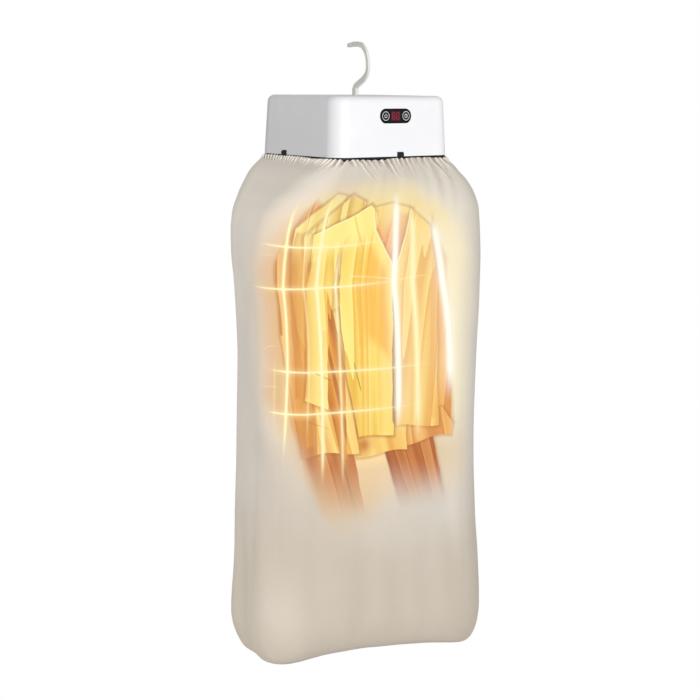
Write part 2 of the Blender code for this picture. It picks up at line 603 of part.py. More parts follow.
for sx in (-1, 1):
    add_cylinder(bm, 0.0012 + GAP, 0.05, (INLET_X + sx * 0.0043, inlet_y - 0.010, INLET_Z), axis="Y", sides=8)
pin_holes = finish("inlet_pin_holes", bm, helper=True)
boolean(inlet, pin_holes)
for tag, sx in (("left", -1), ("right", 1)):
    bm = bmesh.new()
    add_cylinder(bm, 0.0012, 0.0180, (INLET_X + sx * 0.0043, inlet_y - 0.0140, INLET_Z), axis="Y", sides=8)
    finish(f"inlet_pin_{tag}", bm, BRASS, head)

# Leads inside the housing.
wire("mains_lead", [(INLET_X, inlet_y - 0.0240 - 0.0005, INLET_Z), (INLET_X + 0.002, 0.098, INLET_Z),
                    (0.104, 0.075, -0.194), (0.112, 0.052, -0.202), (0.1135, 0.0355, -0.2105)],
     0.0016, GREY, head)
wire("heater_lead", [(0.0815, -0.0300, Z_RIM + 0.0170), (0.0880, -0.0305, Z_RIM + 0.0185),
                     (0.0950, -0.0310, Z_RIM + 0.0160), (0.0972, -0.0310, Z_RIM + 0.0076)], 0.0012, GREY, head)

# ================================================================= BAG CLIPS
for key, (at, turn) in CLIPS.items():
    hinge = empty(f"clip_hinge_{key}", at, (0, 0, math.radians(turn)))
    profile = [(0.0018, -0.0080), (0.0018, 0.0016), (0.0009, 0.0023), (-0.0009, 0.0023),
               (-0.0022, 0.0012), (-0.0037, -0.0008), (-0.0037, -0.0080)]
    curve = bpy.data.curves.new(f"bag_clip_{key}", "CURVE")
    curve.dimensions = "2D"
    curve.fill_mode = "BOTH"
    curve.extrude = CLIP_W / 2
    spline = curve.splines.new("POLY")
    spline.points.add(len(profile) - 1)
    for p, (y, z) in zip(spline.points, profile):
        p.co = (y, z, 0.0, 1.0)
    spline.use_cyclic_u = True
    shape = bpy.data.objects.new("clip_outline", curve)
    tools.objects.link(shape)
    bpy.context.view_layer.update()
    mesh = bpy.data.meshes.new_from_object(shape.evaluated_get(bpy.context.evaluated_depsgraph_get()))
    bpy.data.objects.remove(shape)
    bm = bmesh.new()
    bm.from_mesh(mesh)
    bmesh.ops.remove_doubles(bm, verts=bm.verts, dist=0.00001)
    # the outline's X is the hinge's Y, its Y is Z, and its thickness lies along X
    bmesh.ops.transform(bm, verts=bm.verts, matrix=Matrix(((0, 0, 1, 0), (1, 0, 0, 0), (0, 1, 0, 0), (0, 0, 0, 1))))
    bmesh.ops.recalc_face_normals(bm, faces=bm.faces)
    clip = finish(f"bag_clip_{key}", bm, BLACK, hinge)
    bm = bmesh.new()
    add_cylinder(bm, 0.0008 + GAP, 0.03, (0, 0, 0), axis="X", sides=10)
    pin_hole = finish(f"clip_bore_{key}", bm, helper=True, parent=hinge)
    boolean(clip, pin_hole)
    bm = bmesh.new()
    add_cylinder(bm, 0.0008, 0.0230, (0, 0, 0), axis="X", sides=10)
    finish(f"clip_pin_{key}", bm, STEEL, hinge)

# ====================================================================== HOOK
# Centre line in the hook's own plane, as (towards the back, height), with half
# its width there. It rises from the stem, bows to the front, crosses over the
# stem's axis and ends in a short tip.
HOOK_LINE = [(0.0000, -0.0835, 0.0058), (-0.0025, -0.0796, 0.0057), (-0.0078, -0.0763, 0.0057),
             (-0.0143, -0.0726, 0.0057), (-0.0215, -0.0686, 0.0057), (-0.0284, -0.0641, 0.0055),
             (-0.0338, -0.0589, 0.0051), (-0.0377, -0.0539, 0.0047), (-0.0396, -0.0489, 0.0044),
             (-0.0408, -0.0430, 0.0042), (-0.0406, -0.0350, 0.0041), (-0.0395, -0.0270, 0.0041),
             (-0.0374, -0.0191, 0.0041), (-0.0351, -0.0131, 0.0043), (-0.0320, -0.0081, 0.0045),
             (-0.0284, -0.0035, 0.0048), (-0.0224, 0.0014, 0.0051), (-0.0145, 0.0040, 0.0052),
             (-0.0046, 0.0051, 0.0052), (0.0054, 0.0048, 0.0050), (0.0154, 0.0038, 0.0045),
             (0.0215, 0.0029, 0.0041)]


def smooth_line(rows, steps):
    out = []
    for i in range(len(rows) - 1):
        a, b = rows[max(i - 1, 0)], rows[i]
        c, d = rows[i + 1], rows[min(i + 2, len(rows) - 1)]
        for k in range(steps):
            t = k / steps
            out.append(tuple(0.5 * (2 * q + (r - p) * t + (2 * p - 5 * q + 4 * r - s) * t * t
                                    + (3 * q - p - 3 * r + s) * t ** 3)
                             for p, q, r, s in zip(a, b, c, d)))
    out.append(rows[-1])
    return out


line = smooth_line(HOOK_LINE, 1)
left_side, right_side = [], []
for i, (y, z, half) in enumerate(line):
    y0, z0, _ = line[max(i - 1, 0)]
    y1, z1, _ = line[min(i + 1, len(line) - 1)]
    length = math.hypot(y1 - y0, z1 - z0)
    ny, nz = -(z1 - z0) / length, (y1 - y0) / length
    left_side.append((y + ny * half, z + nz * half))
    right_side.append((y - ny * half, z - nz * half))
tip_y, tip_z, tip_half = line[-1]
ty, tz = line[-1][0] - line[-2][0], line[-1][1] - line[-2][1]
tl = math.hypot(ty, tz)
ty, tz = ty / tl, tz / tl
cap = []
for k in range(1, 5):
    ang = math.pi * k / 5
    ny, nz = -tz, ty
    cap.append((tip_y + tip_half * (ny * math.cos(ang) + ty * math.sin(ang)),
                tip_z + tip_half * (nz * math.cos(ang) + tz * math.sin(ang))))
outline = left_side + cap + right_side[::-1]
curve = bpy.data.curves.new("hook_outline", "CURVE")
curve.dimensions = "2D"
curve.fill_mode = "BOTH"
curve.extrude = HOOK_T / 2
spline = curve.splines.new("POLY")
spline.points.add(len(outline) - 1)
for p, (y, z) in zip(spline.points, outline):
    p.co = (y, z, 0.0, 1.0)
spline.use_cyclic_u = True
shape = bpy.data.objects.new("hook_outline", curve)
tools.objects.link(shape)
bpy.context.view_layer.update()
mesh = bpy.data.meshes.new_from_object(shape.evaluated_get(bpy.context.evaluated_depsgraph_get()))
bpy.data.objects.remove(shape)
bm = bmesh.new()
bm.from_mesh(mesh)
bmesh.ops.remove_doubles(bm, verts=bm.verts, dist=0.00001)
bmesh.ops.transform(bm, verts=bm.verts,
                    matrix=Matrix(((0, 0, 1, 0), (1, 0, 0, 0), (0, 1, 0, 0), (0, 0, 0, 1))))
bmesh.ops.recalc_face_normals(bm, faces=bm.faces)
swivel = empty("hook_swivel")
hook = finish("hook", bm, CREAM, swivel)
bm = bmesh.new()
add_slab(bm, STEM_BOX[0], STEM_BOX[1], 0.0155, 0.0010, (0, 0, Z_TOP + 0.0005 + 0.0155 / 2), segments=2)
stem = finish("hook_stem", bm, helper=True)
boolean(hook, stem, "UNION")
bm = bmesh.new()
add_cylinder(bm, STEM_R, 0.0120, (0, 0, Z_TOP + 0.0015 - 0.0060), sides=20)
journal = finish("hook_journal", bm, helper=True)
boolean(hook, journal, "UNION")
bm = bmesh.new()
add_cylinder(bm, PIVOT_R, 0.0190, (0, 0, Z_TOP - 0.0165), sides=16)
thread = finish("hook_thread", bm, helper=True)
boolean(hook, thread, "UNION")
tube_ring("hook_washer", 0.0100, PIVOT_R + GAP, 0.0015, STEEL,
          (0, 0, STRAP_TOP - STRAP_T - GAP - 0.00075), steps=16, parent=swivel)
bm = bmesh.new()
add_cylinder(bm, 0.0075, 0.0060, (0, 0, STRAP_TOP - STRAP_T - 2 * GAP - 0.0015 - 0.0030), sides=6)
nut = finish("hook_nut", bm, STEEL, swivel)
bm = bmesh.new()
add_cylinder(bm, PIVOT_R + GAP, 0.02, (0, 0, STRAP_TOP - 0.006), sides=16)
nut_bore = finish("hook_nut_bore", bm, helper=True)
boolean(nut, nut_bore)

# ======================================================================= BAG
bag = empty("bag")


def ring(half_w, half_d, r, z, corner=5, side=3):
    """Points round a rounded rectangle, the same number at every height."""
    pts = []
    for cx, cy, start in ((1, 1, 0), (-1, 1, 90), (-1, -1, 180), (1, -1, 270)):
        for k in range(corner + 1):
            a = math.radians(start + 90 * k / corner)
            pts.append((cx * (half_w - r) + r * math.cos(a), cy * (half_d - r) + r * math.sin(a)))
        nx, ny = {0: (-1, 1), 90: (-1, -1), 180: (1, -1), 270: (1, 1)}[start]
        a = math.radians(start + 90)
        last = pts[-1]
        nxt = (nx * (half_w - r) + r * math.cos(a), ny * (half_d - r) + r * math.sin(a))
        for k in range(1, side):
            t = k / side
            pts.append((last[0] + (nxt[0] - last[0]) * t, last[1] + (nxt[1] - last[1]) * t))
    return [(x, y, z) for x, y in pts]


def bag_ring(z, half_w, half_d, r, drift):
    turn = BAG_TURN * min(1.0, max(0.0, (Z_RIM - 0.018 - z) / 0.235))
    sag = min(1.0, max(0.0, (-0.93 - z) / 0.24))
    sag = sag * sag * (3 - 2 * sag)
    out = []
    for x, y, _ in ring(half_w, half_d, r, 0.0):
        drop = sag * (BAG_SAG * (x / half_w) ** 2 + 0.018 * x)
        out.append((x * math.cos(turn) - y * math.sin(turn) + drift * math.cos(BAG_DRIFT),
                    x * math.sin(turn) + y * math.cos(turn) + drift * math.sin(BAG_DRIFT), z - drop))
    return out


sections = list(BAG_ROWS)
z, w, d, r, drift = sections[-1]
for k in range(1, 6):
    a = math.radians(90 * k / 5)
    inset = BAG_INSET * (1 - math.cos(a))
    sections.append((z - (z - BAG_FLOOR) * math.sin(a), w - inset, d - inset, r - inset, drift))
sections.append((BAG_FLOOR - 0.005, w - 0.090, d - 0.080, 0.045, drift))
bm = bmesh.new()
rings = [[bm.verts.new(p) for p in bag_ring(*s)] for s in sections]
for upper, lower in zip(rings, rings[1:]):
    n = len(upper)
    for i in range(n):
        bm.faces.new((upper[i], lower[i], lower[(i + 1) % n], upper[(i + 1) % n]))
bm.faces.new(rings[-1][::-1])
bmesh.ops.recalc_face_normals(bm, faces=bm.faces)
low = min(bm.faces, key=lambda f: f.calc_center_median().z)
if low.normal.z > 0:
    bmesh.ops.reverse_faces(bm, faces=bm.faces)
cover = finish("bag_cover", bm, CLOTH, bag, smooth=True)
thick = cover.modifiers.new("cloth", "SOLIDIFY")
thick.thickness = BAG_WALL
thick.offset = -1

# Elastic in the hem, round the tray's skirt.
bm = bmesh.new()
out = 0.0024
add_slab(bm, HEAD_W - 2 * SKIRT_IN + 2 * out - 0.001, HEAD_D - 2 * SKIRT_IN + 2 * out - 0.001, 0.010,
         HEAD_R - SKIRT_IN + out - 0.0005, (0, 0, BAG_TOP - 0.0020 - 0.005), segments=5)
band = finish("bag_elastic", bm, ELASTIC, bag)
bm = bmesh.new()
add_slab(bm, HEAD_W - 2 * SKIRT_IN + 2 * GAP, HEAD_D - 2 * SKIRT_IN + 2 * GAP, 0.03,
         HEAD_R - SKIRT_IN + GAP, (0, 0, BAG_TOP - 0.005), segments=5)
band_hole = finish("elastic_hole", bm, helper=True)
boolean(band, band_hole)

bpy.context.view_layer.update()
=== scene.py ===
import json
import math
import random

import bpy
import bmesh
import numpy as np
from mathutils import Matrix, Vector


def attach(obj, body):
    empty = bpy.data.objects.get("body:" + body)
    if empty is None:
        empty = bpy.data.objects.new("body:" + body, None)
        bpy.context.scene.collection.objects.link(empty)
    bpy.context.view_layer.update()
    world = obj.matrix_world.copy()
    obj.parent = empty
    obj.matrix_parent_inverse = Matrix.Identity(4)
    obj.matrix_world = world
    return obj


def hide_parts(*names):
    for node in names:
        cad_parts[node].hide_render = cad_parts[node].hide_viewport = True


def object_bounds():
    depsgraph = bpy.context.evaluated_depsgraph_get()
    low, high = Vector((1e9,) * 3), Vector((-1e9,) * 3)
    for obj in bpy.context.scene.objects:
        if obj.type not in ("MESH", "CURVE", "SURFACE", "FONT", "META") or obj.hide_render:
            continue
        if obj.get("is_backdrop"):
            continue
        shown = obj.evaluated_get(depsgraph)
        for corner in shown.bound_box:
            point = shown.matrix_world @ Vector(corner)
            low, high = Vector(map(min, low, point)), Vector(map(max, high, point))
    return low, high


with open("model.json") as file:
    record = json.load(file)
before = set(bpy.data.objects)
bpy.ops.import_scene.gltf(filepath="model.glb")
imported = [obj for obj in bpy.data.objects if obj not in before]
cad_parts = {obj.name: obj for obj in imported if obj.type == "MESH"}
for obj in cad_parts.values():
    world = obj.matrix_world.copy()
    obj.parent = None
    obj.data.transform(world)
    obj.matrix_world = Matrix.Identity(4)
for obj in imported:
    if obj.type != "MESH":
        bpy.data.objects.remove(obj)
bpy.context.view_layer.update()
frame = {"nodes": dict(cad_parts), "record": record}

scene = bpy.context.scene
rng = np.random.default_rng(11)

# ------------------------------------------------------------------ sizes
# The same dimensions as the construction, in metres.
GAP = 0.0003
HEAD_W, HEAD_D, HEAD_H = 0.300, 0.270, 0.119
HEAD_R, HEAD_DRAFT, HEAD_WALL, HEAD_TOP_R = 0.036, 0.0055, 0.0025, 0.014
Z_TOP = -0.098
Z_RIM = Z_TOP - HEAD_H
LEAN = math.atan2(HEAD_DRAFT, HEAD_H)
SKIRT_IN = 0.0065
PANEL_W, PANEL_H, PANEL_DROP = 0.0800, 0.0286, 0.0390
BUTTON_X, BUTTON_R = 0.0260, 0.0098
CLIP_W, CLIP_UP, CLIP_FRONT_X, CLIP_SIDE_Y = 0.0160, 0.0060, 0.0108, 0.0410
INTAKE_X, INTAKE_Z = -0.020, -0.150
INLET_X, INLET_Z = 0.092, -0.190
CLIPS = {
    "front": ((CLIP_FRONT_X, -HEAD_D / 2 + 0.002, Z_RIM + CLIP_UP), 0.0),
    "left": ((-HEAD_W / 2 + 0.002, CLIP_SIDE_Y, Z_RIM + CLIP_UP), -90.0),
    "rear": ((-CLIP_FRONT_X, HEAD_D / 2 - 0.002, Z_RIM + CLIP_UP), 180.0),
    "right": ((HEAD_W / 2 - 0.002, -CLIP_SIDE_Y, Z_RIM + CLIP_UP), 90.0),
}
BAG_TURN, BAG_DRIFT = math.radians(-15), math.radians(-38)
BAG_TOP, BAG_FLOOR, BAG_INSET, BAG_SAG = -0.2218, -1.243, 0.032, 0.032
BAG_ROWS = (
    (BAG_TOP, 0.1486, 0.1336, 0.0320, 0.0000), (-0.2290, 0.1590, 0.1345, 0.0390, 0.0006),
    (-0.2410, 0.1792, 0.1356, 0.0499, 0.0028), (-0.2560, 0.1985, 0.1366, 0.0605, 0.0058),
    (-0.2710, 0.2155, 0.1375, 0.0696, 0.0085), (-0.2980, 0.2409, 0.1386, 0.0838, 0.0078),
    (-0.3330, 0.2563, 0.1395, 0.0923, 0.0065), (-0.3670, 0.2582, 0.1397, 0.0934, 0.0056),
    (-0.4170, 0.2563, 0.1395, 0.0923, 0.0060), (-0.4760, 0.2502, 0.1392, 0.0890, 0.0074),
    (-0.5550, 0.2461, 0.1389, 0.0867, 0.0092), (-0.6340, 0.2435, 0.1388, 0.0852, 0.0097),
    (-0.7530, 0.2435, 0.1387, 0.0852, 0.0101), (-0.8560, 0.2449, 0.1388, 0.0860, 0.0106),
    (-0.9740, 0.2484, 0.1391, 0.0879, 0.0118), (-1.0750, 0.2556, 0.1395, 0.0920, 0.0154),
    (-1.1350, 0.2611, 0.1398, 0.0950, 0.0157), (-1.1580, 0.2622, 0.1400, 0.0960, 0.0160),
)

# ------------------------------------------------------------------ camera
AZ, EL, ROLL, DIST, AIM_Z, FOCAL, SIDE = (
    math.radians(38.0), math.radians(10.12), math.radians(0.5), 3.2, -0.630, 1511.0, 2.9)
back = Vector((math.sin(-AZ) * math.cos(EL), -math.cos(-AZ) * math.cos(EL), math.sin(EL)))
place = Vector((0.0, 0.0, AIM_Z)) + back * DIST
right = (-back).cross(Vector((0, 0, 1))).normalized()
up = right.cross(-back)
right, up = (right * math.cos(ROLL) + up * math.sin(ROLL),
             up * math.cos(ROLL) - right * math.sin(ROLL))
turn = Matrix((right, up, back)).transposed().to_4x4()
turn.translation = place - right * (SIDE / FOCAL * DIST)
lens = bpy.data.cameras.new("camera")
lens.sensor_width = 36.0
lens.lens = FOCAL / 700.0 * 36.0
lens.clip_start, lens.clip_end = 0.05, 200.0
camera = bpy.data.objects.new("camera", lens)
camera.matrix_world = turn
scene.collection.objects.link(camera)
scene.camera = camera


# ------------------------------------------------------------------ node helpers
class Value:
    """A number in a node tree that can be added, multiplied and so on."""

    def __init__(self, graph, socket):
        self.g, self.s = graph, socket

    def _op(self, op, other=None, third=None, flip=False):
        n = self.g.nt.nodes.new("ShaderNodeMath")
        n.operation = op
        args = [self, other, third]
        if flip:
            args = [other, self, third]
        for i, a in enumerate(args):
            if a is None:
                continue
            if isinstance(a, Value):
                self.g.nt.links.new(a.s, n.inputs[i])
            else:
                n.inputs[i].default_value = a
        return Value(self.g, n.outputs[0])

    def __add__(self, o): return self._op("ADD", o)
    def __radd__(self, o): return self._op("ADD", o)
    def __sub__(self, o): return self._op("SUBTRACT", o)
    def __rsub__(self, o): return self._op("SUBTRACT", o, flip=True)
    def __mul__(self, o): return self._op("MULTIPLY", o)
    def __rmul__(self, o): return self._op("MULTIPLY", o)
    def __truediv__(self, o): return self._op("DIVIDE", o)
    def __neg__(self): return self._op("MULTIPLY", -1.0)
    def abs(self): return self._op("ABSOLUTE")
    def sin(self): return self._op("SINE")
    def fract(self): return self._op("FRACT")
    def floor(self): return self._op("FLOOR")
    def power(self, o): return self._op("POWER", o)
    def max(self, o): return self._op("MAXIMUM", o)
    def min(self, o): return self._op("MINIMUM", o)
    def clamp(self): return self.max(0.0).min(1.0)

    def step(self, a, b):
        """0 below a and 1 above b, smoothly; b may be the lower one."""
        n = self.g.nt.nodes.new("ShaderNodeMapRange")
        n.interpolation_type = "SMOOTHSTEP"
        self.g.nt.links.new(self.s, n.inputs["Value"])
        lo, hi, out0, out1 = (a, b, 0.0, 1.0) if a < b else (b, a, 1.0, 0.0)
        for key, v in (("From Min", lo), ("From Max", hi), ("To Min", out0), ("To Max", out1)):
            n.inputs[key].default_value = v
        return Value(self.g, n.outputs["Result"])

    def bell(self, width):
        """1 at zero, falling off smoothly to either side."""
        x = self * (1.0 / width)
        return (x * x * -1.0)._op("EXPONENT")


class Graph:
    """A material with a Principled shader and short calls for its nodes."""

    def __init__(self, name):
        self.m = bpy.data.materials.new(name)
        self.m.use_nodes = True
        self.nt = self.m.node_tree
        self.nt.nodes.clear()
        self.out = self.nt.nodes.new("ShaderNodeOutputMaterial")
        self.b = self.nt.nodes.new("ShaderNodeBsdfPrincipled")
        self.nt.links.new(self.b.outputs[0], self.out.inputs[0])
        self.coord = self.nt.nodes.new("ShaderNodeTexCoord")

    def set(self, **values):
        names = {"base": "Base Color", "rough": "Roughness", "metal": "Metallic",
                 "coat": "Coat Weight", "coat_rough": "Coat Roughness", "spec": "Specular IOR Level",
                 "sheen": "Sheen Weight", "sheen_rough": "Sheen Roughness", "ior": "IOR",
                 "glow": "Emission Color", "glow_strength": "Emission Strength",
                 "normal": "Normal", "sheen_tint": "Sheen Tint", "subsurface": "Subsurface Weight",
                 "radius": "Subsurface Radius", "subsurface_scale": "Subsurface Scale"}
        for key, v in values.items():
            s = self.b.inputs[names[key]]
            if isinstance(v, Value):
                self.nt.links.new(v.s, s)
            elif isinstance(v, bpy.types.NodeSocket):
                self.nt.links.new(v, s)
            elif isinstance(v, (tuple, list)) and len(v) == 3 and s.type == "RGBA":
                s.default_value = (*v, 1.0)
            else:
                s.default_value = v
        return self

    def at(self, kind="Object", scale=(1, 1, 1), turn=(0, 0, 0)):
        n = self.nt.nodes.new("ShaderNodeMapping")
        n.inputs["Scale"].default_value = scale
        n.inputs["Rotation"].default_value = turn
        self.nt.links.new(self.coord.outputs[kind], n.inputs["Vector"])
        return n.outputs["Vector"]

    def uv(self, name):
        n = self.nt.nodes.new("ShaderNodeUVMap")
        n.uv_map = name
        x = self.nt.nodes.new("ShaderNodeSeparateXYZ")
        self.nt.links.new(n.outputs[0], x.inputs[0])
        return Value(self, x.outputs[0]), Value(self, x.outputs[1])

    def xyz(self):
        x = self.nt.nodes.new("ShaderNodeSeparateXYZ")
        self.nt.links.new(self.coord.outputs["Object"], x.inputs[0])
        return [Value(self, o) for o in x.outputs]

    def vector(self, x, y, z=0.0):
        n = self.nt.nodes.new("ShaderNodeCombineXYZ")
        for i, v in enumerate((x, y, z)):
            if isinstance(v, Value):
                self.nt.links.new(v.s, n.inputs[i])
            else:
                n.inputs[i].default_value = v
        return n.outputs[0]

    def field(self, name):
        n = self.nt.nodes.new("ShaderNodeAttribute")
        n.attribute_name = name
        return Value(self, n.outputs["Fac"])

    def noise(self, vector, scale, detail=2.0, rough=0.5, distortion=0.0):
        n = self.nt.nodes.new("ShaderNodeTexNoise")
        self.nt.links.new(vector, n.inputs["Vector"])
        n.inputs["Scale"].default_value = scale
        n.inputs["Detail"].default_value = detail
        n.inputs["Roughness"].default_value = rough
        n.inputs["Distortion"].default_value = distortion
        return Value(self, n.outputs["Fac"])

    def cells(self, vector, scale, feature="F1", output="Distance"):
        n = self.nt.nodes.new("ShaderNodeTexVoronoi")
        n.feature = feature
        self.nt.links.new(vector, n.inputs["Vector"])
        n.inputs["Scale"].default_value = scale
        return Value(self, n.outputs[output])

    def ramp(self, fac, stops):
        n = self.nt.nodes.new("ShaderNodeValToRGB")
        self.nt.links.new(fac.s, n.inputs[0])
        e = n.color_ramp.elements
        while len(e) < len(stops):
            e.new(0.5)
        for el, (p, c) in zip(e, stops):
            el.position = p
        for el, (p, c) in zip(e, stops):
            el.position = p
            el.color = (*c, 1.0)
        return n.outputs["Color"]

    def mix(self, fac, a, b, blend="MIX"):
        n = self.nt.nodes.new("ShaderNodeMix")
        n.data_type = "RGBA"
        n.blend_type = blend
        n.clamp_factor = True
        for sock, v in ((n.inputs[0], fac), (n.inputs[6], a), (n.inputs[7], b)):
            if isinstance(v, Value):
                self.nt.links.new(v.s, sock)
            elif isinstance(v, bpy.types.NodeSocket):
                self.nt.links.new(v, sock)
            elif isinstance(v, (tuple, list)):
                sock.default_value = (*v, 1.0)
            else:
                sock.default_value = v
        return n.outputs[2]

    def bump(self, height, strength, distance, normal=None):
        n = self.nt.nodes.new("ShaderNodeBump")
        n.inputs["Strength"].default_value = strength
        n.inputs["Distance"].default_value = distance
        self.nt.links.new(height.s, n.inputs["Height"])
        if normal is not None:
            self.nt.links.new(normal, n.inputs["Normal"])
        return n.outputs[0]


def srgb(r, g, b):
    """A colour written as 0 to 255 on screen, as the linear values that a shader takes."""
    out = []
    for v in (r, g, b):
        v /= 255.0
        out.append(v / 12.92 if v <= 0.04045 else ((v + 0.055) / 1.055) ** 2.4)
    return tuple(out)


def plastic(name, low, high, rough, grain, grain_scale, coat=0.0, spec=0.5, blotch=14.0):
    """Moulded plastic: faint mottling of colour and gloss and a fine moulded grain."""
    g = Graph(name)
    at = g.at()
    cloud = g.noise(at, blotch, 3.0, 0.55)
    fine = g.noise(at, grain_scale, 2.0, 0.6)
    g.set(base=g.ramp(cloud, [(0.30, low), (0.70, high)]),
          rough=g.noise(at, blotch * 6, 3.0).step(0.2, 0.8) * (rough[1] - rough[0]) + rough[0],
          coat=coat, coat_rough=0.08, spec=spec, normal=g.bump(fine, 1.0, grain))
    return g.m


def metal(name, low, high, rough, stretch, scale=60.0):
    """Drawn or brushed metal: fine lines along one direction."""
    g = Graph(name)
    at = g.at(scale=stretch)
    line = g.noise(at, scale, 4.0, 0.65)
    g.set(base=g.ramp(line, [(0.25, low), (0.75, high)]), metal=1.0,
          rough=line * (rough[1] - rough[0]) + rough[0], normal=g.bump(line, 0.35, 0.00006))
    return g.m


WHITE = plastic("housing_white", srgb(242, 242, 244), srgb(246, 246, 248), (0.30, 0.38), 0.000015, 1500.0, spec=0.45)
BLACK = plastic("tray_black", (0.006, 0.006, 0.0065), (0.011, 0.011, 0.012), (0.42, 0.55), 0.00005, 1400.0, spec=0.32)
GLOSS = plastic("panel_black", (0.003, 0.003, 0.0035), (0.005, 0.005, 0.006), (0.10, 0.16), 0.000004, 500.0, coat=0.0, spec=0.30)
CAP = plastic("button_black", (0.003, 0.003, 0.0035), (0.006, 0.006, 0.007), (0.22, 0.30), 0.00001, 900.0, spec=0.30)
MARK = plastic("panel_print", srgb(226, 228, 228), srgb(238, 240, 240), (0.38, 0.48), 0.000008, 1200.0)
CREAM = plastic("hook_plastic", srgb(224, 224, 218), srgb(236, 236, 231), (0.34, 0.44), 0.00004, 1100.0, spec=0.45)
GREY = plastic("fan_plastic", (0.055, 0.056, 0.060), (0.085, 0.086, 0.092), (0.42, 0.55), 0.00006, 900.0)
AMBER = plastic("mica", (0.36, 0.28, 0.17), (0.52, 0.43, 0.30), (0.45, 0.65), 0.00010, 420.0, blotch=60.0)
STEEL = metal("steel", (0.50, 0.51, 0.53), (0.68, 0.69, 0.71), (0.22, 0.38), (1.0, 18.0, 18.0))
BRASS = metal("brass", (0.66, 0.47, 0.20), (0.82, 0.64, 0.32), (0.20, 0.34), (12.0, 1.0, 12.0))
ALU = metal("heater_fins", (0.62, 0.63, 0.65), (0.78, 0.79, 0.81), (0.28, 0.44), (1.0, 1.0, 14.0))

g = Graph("circuit_board")
trace = g.cells(g.at(scale=(1, 1, 1)), 260.0, "F1", "Distance")
track = g.noise(g.at(scale=(1, 5, 5)), 180.0, 1.0)
g.set(base=g.mix(track.step(0.54, 0.58), (0.020, 0.115, 0.048), (0.045, 0.190, 0.085)),
      rough=trace * 0.2 + 0.32, spec=0.5, normal=g.bump(track.step(0.50, 0.60), 0.4, 0.00006))
BOARD = g.m

g = Graph("filter_foam")
pore_depth_and_shade = g.cells(g.at(), 700.0)
# the pores are painted darker as shade in them; the same pattern makes their relief
g.set(base=g.ramp(pore_depth_and_shade, [(0.15, (0.012, 0.012, 0.013)), (0.65, (0.10, 0.10, 0.105))]),
      rough=0.95, normal=g.bump(pore_depth_and_shade, 1.0, 0.0008), sheen=0.2)
FOAM = g.m

g = Graph("display")
glassy = g.noise(g.at(), 90.0, 2.0)
g.set(base=g.ramp(glassy, [(0.3, srgb(84, 18, 36)), (0.7, srgb(96, 22, 42))]),
      rough=glassy * 0.06 + 0.08, spec=0.30)
DISPLAY = g.m

g = Graph("lit_figures")
x, y, z = g.xyz()
dots = g.noise(g.at(), 900.0, 2.0)
g.set(base=(0.12, 0.010, 0.028), rough=0.35,
      glow=g.ramp(dots, [(0.2, srgb(168, 46, 74)), (0.8, srgb(200, 78, 106))]), glow_strength=0.20)
LIT = g.m

g = Graph("dark_figures")
dots = g.noise(g.at(), 900.0, 2.0)
g.set(base=g.ramp(dots, [(0.2, srgb(84, 16, 34)), (0.8, srgb(98, 22, 42))]), rough=0.35)
UNLIT = g.m

g = Graph("elastic")
x, y, z = g.xyz()
rib_relief_and_shade = (z * (math.tau / 0.0018)).sin() * 0.5 + 0.5
thread = g.noise(g.at(), 1500.0, 3.0)
# the grooves between the ribs are painted darker as shade and the ribs lighter; the same wave makes their relief
g.set(base=g.mix(rib_relief_and_shade, (0.008, 0.008, 0.008), (0.026, 0.025, 0.025)), rough=0.88, sheen=0.25, sheen_rough=0.5,
      normal=g.bump(rib_relief_and_shade + thread * 0.5, 0.8, 0.0003))
ELASTIC = g.m

# ------------------------------------------------------------------ mesh helpers
def piece(name, bm, material, body, replaces=(), smooth=35.0, ride=True):
    mesh = bpy.data.meshes.new(name)
    bm.to_mesh(mesh)
    bm.free()
    obj = bpy.data.objects.new(name, mesh)
    scene.collection.objects.link(obj)
    mesh.materials.append(material)
    if smooth:
        mesh.shade_smooth()
        mesh.set_sharp_from_angle(angle=math.radians(smooth))
    if ride:
        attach(obj, body)
        if replaces:
            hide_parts(*replaces)
    return obj


def helper(name, bm):
    mesh = bpy.data.meshes.new(name)
    bm.to_mesh(mesh)
    bm.free()
    obj = bpy.data.objects.new(name, mesh)
    scene.collection.objects.link(obj)
    return obj


def cut(obj, cutters, operation="DIFFERENCE"):
    """Applies the Boolean of each cutter and removes the cutters."""
    for c in cutters:
        m = obj.modifiers.new("cut", "BOOLEAN")
        m.operation = operation
        m.solver = "EXACT"
        m.object = c
    apply_all(obj)
    for c in cutters:
        bpy.data.objects.remove(c)


def apply_all(obj):
    """Fixes what the modifiers make as the object's own mesh."""
    bpy.context.view_layer.update()
    dg = bpy.context.evaluated_depsgraph_get()
    mesh = bpy.data.meshes.new_from_object(obj.evaluated_get(dg))
    old = obj.data
    obj.modifiers.clear()
    obj.data = mesh
    bpy.data.meshes.remove(old)


def soften(obj, width, segments=2, angle=30.0, weighted=True):
    """Small rounded edges, and normals that keep the flats flat."""
    m = obj.modifiers.new("edges", "BEVEL")
    m.width = width
    m.segments = segments
    m.limit_method = "ANGLE"
    m.angle_limit = math.radians(angle)
    m.harden_normals = False
    m.use_clamp_overlap = True
    apply_all(obj)
    obj.data.shade_smooth()
    obj.data.set_sharp_from_angle(angle=math.radians(45))
    if weighted:
        w = obj.modifiers.new("normals", "WEIGHTED_NORMAL")
        w.keep_sharp = True
        w.weight = 80


def box_in(bm, size, at, turn=None):
    m = Matrix.Translation(at) @ (turn or Matrix.Identity(4)) @ Matrix.Diagonal((*size, 1.0))
    return bmesh.ops.create_cube(bm, size=1.0, matrix=m)["verts"]


def rod_in(bm, radius, height, at, axis="Z", sides=40):
    m = Matrix.Translation(at)
    if axis == "X":
        m = m @ Matrix.Rotation(math.radians(90), 4, "Y")
    if axis == "Y":
        m = m @ Matrix.Rotation(math.radians(-90), 4, "X")
    return bmesh.ops.create_cone(bm, cap_ends=True, radius1=radius, radius2=radius,
                                 depth=height, segments=sides, matrix=m)["verts"]


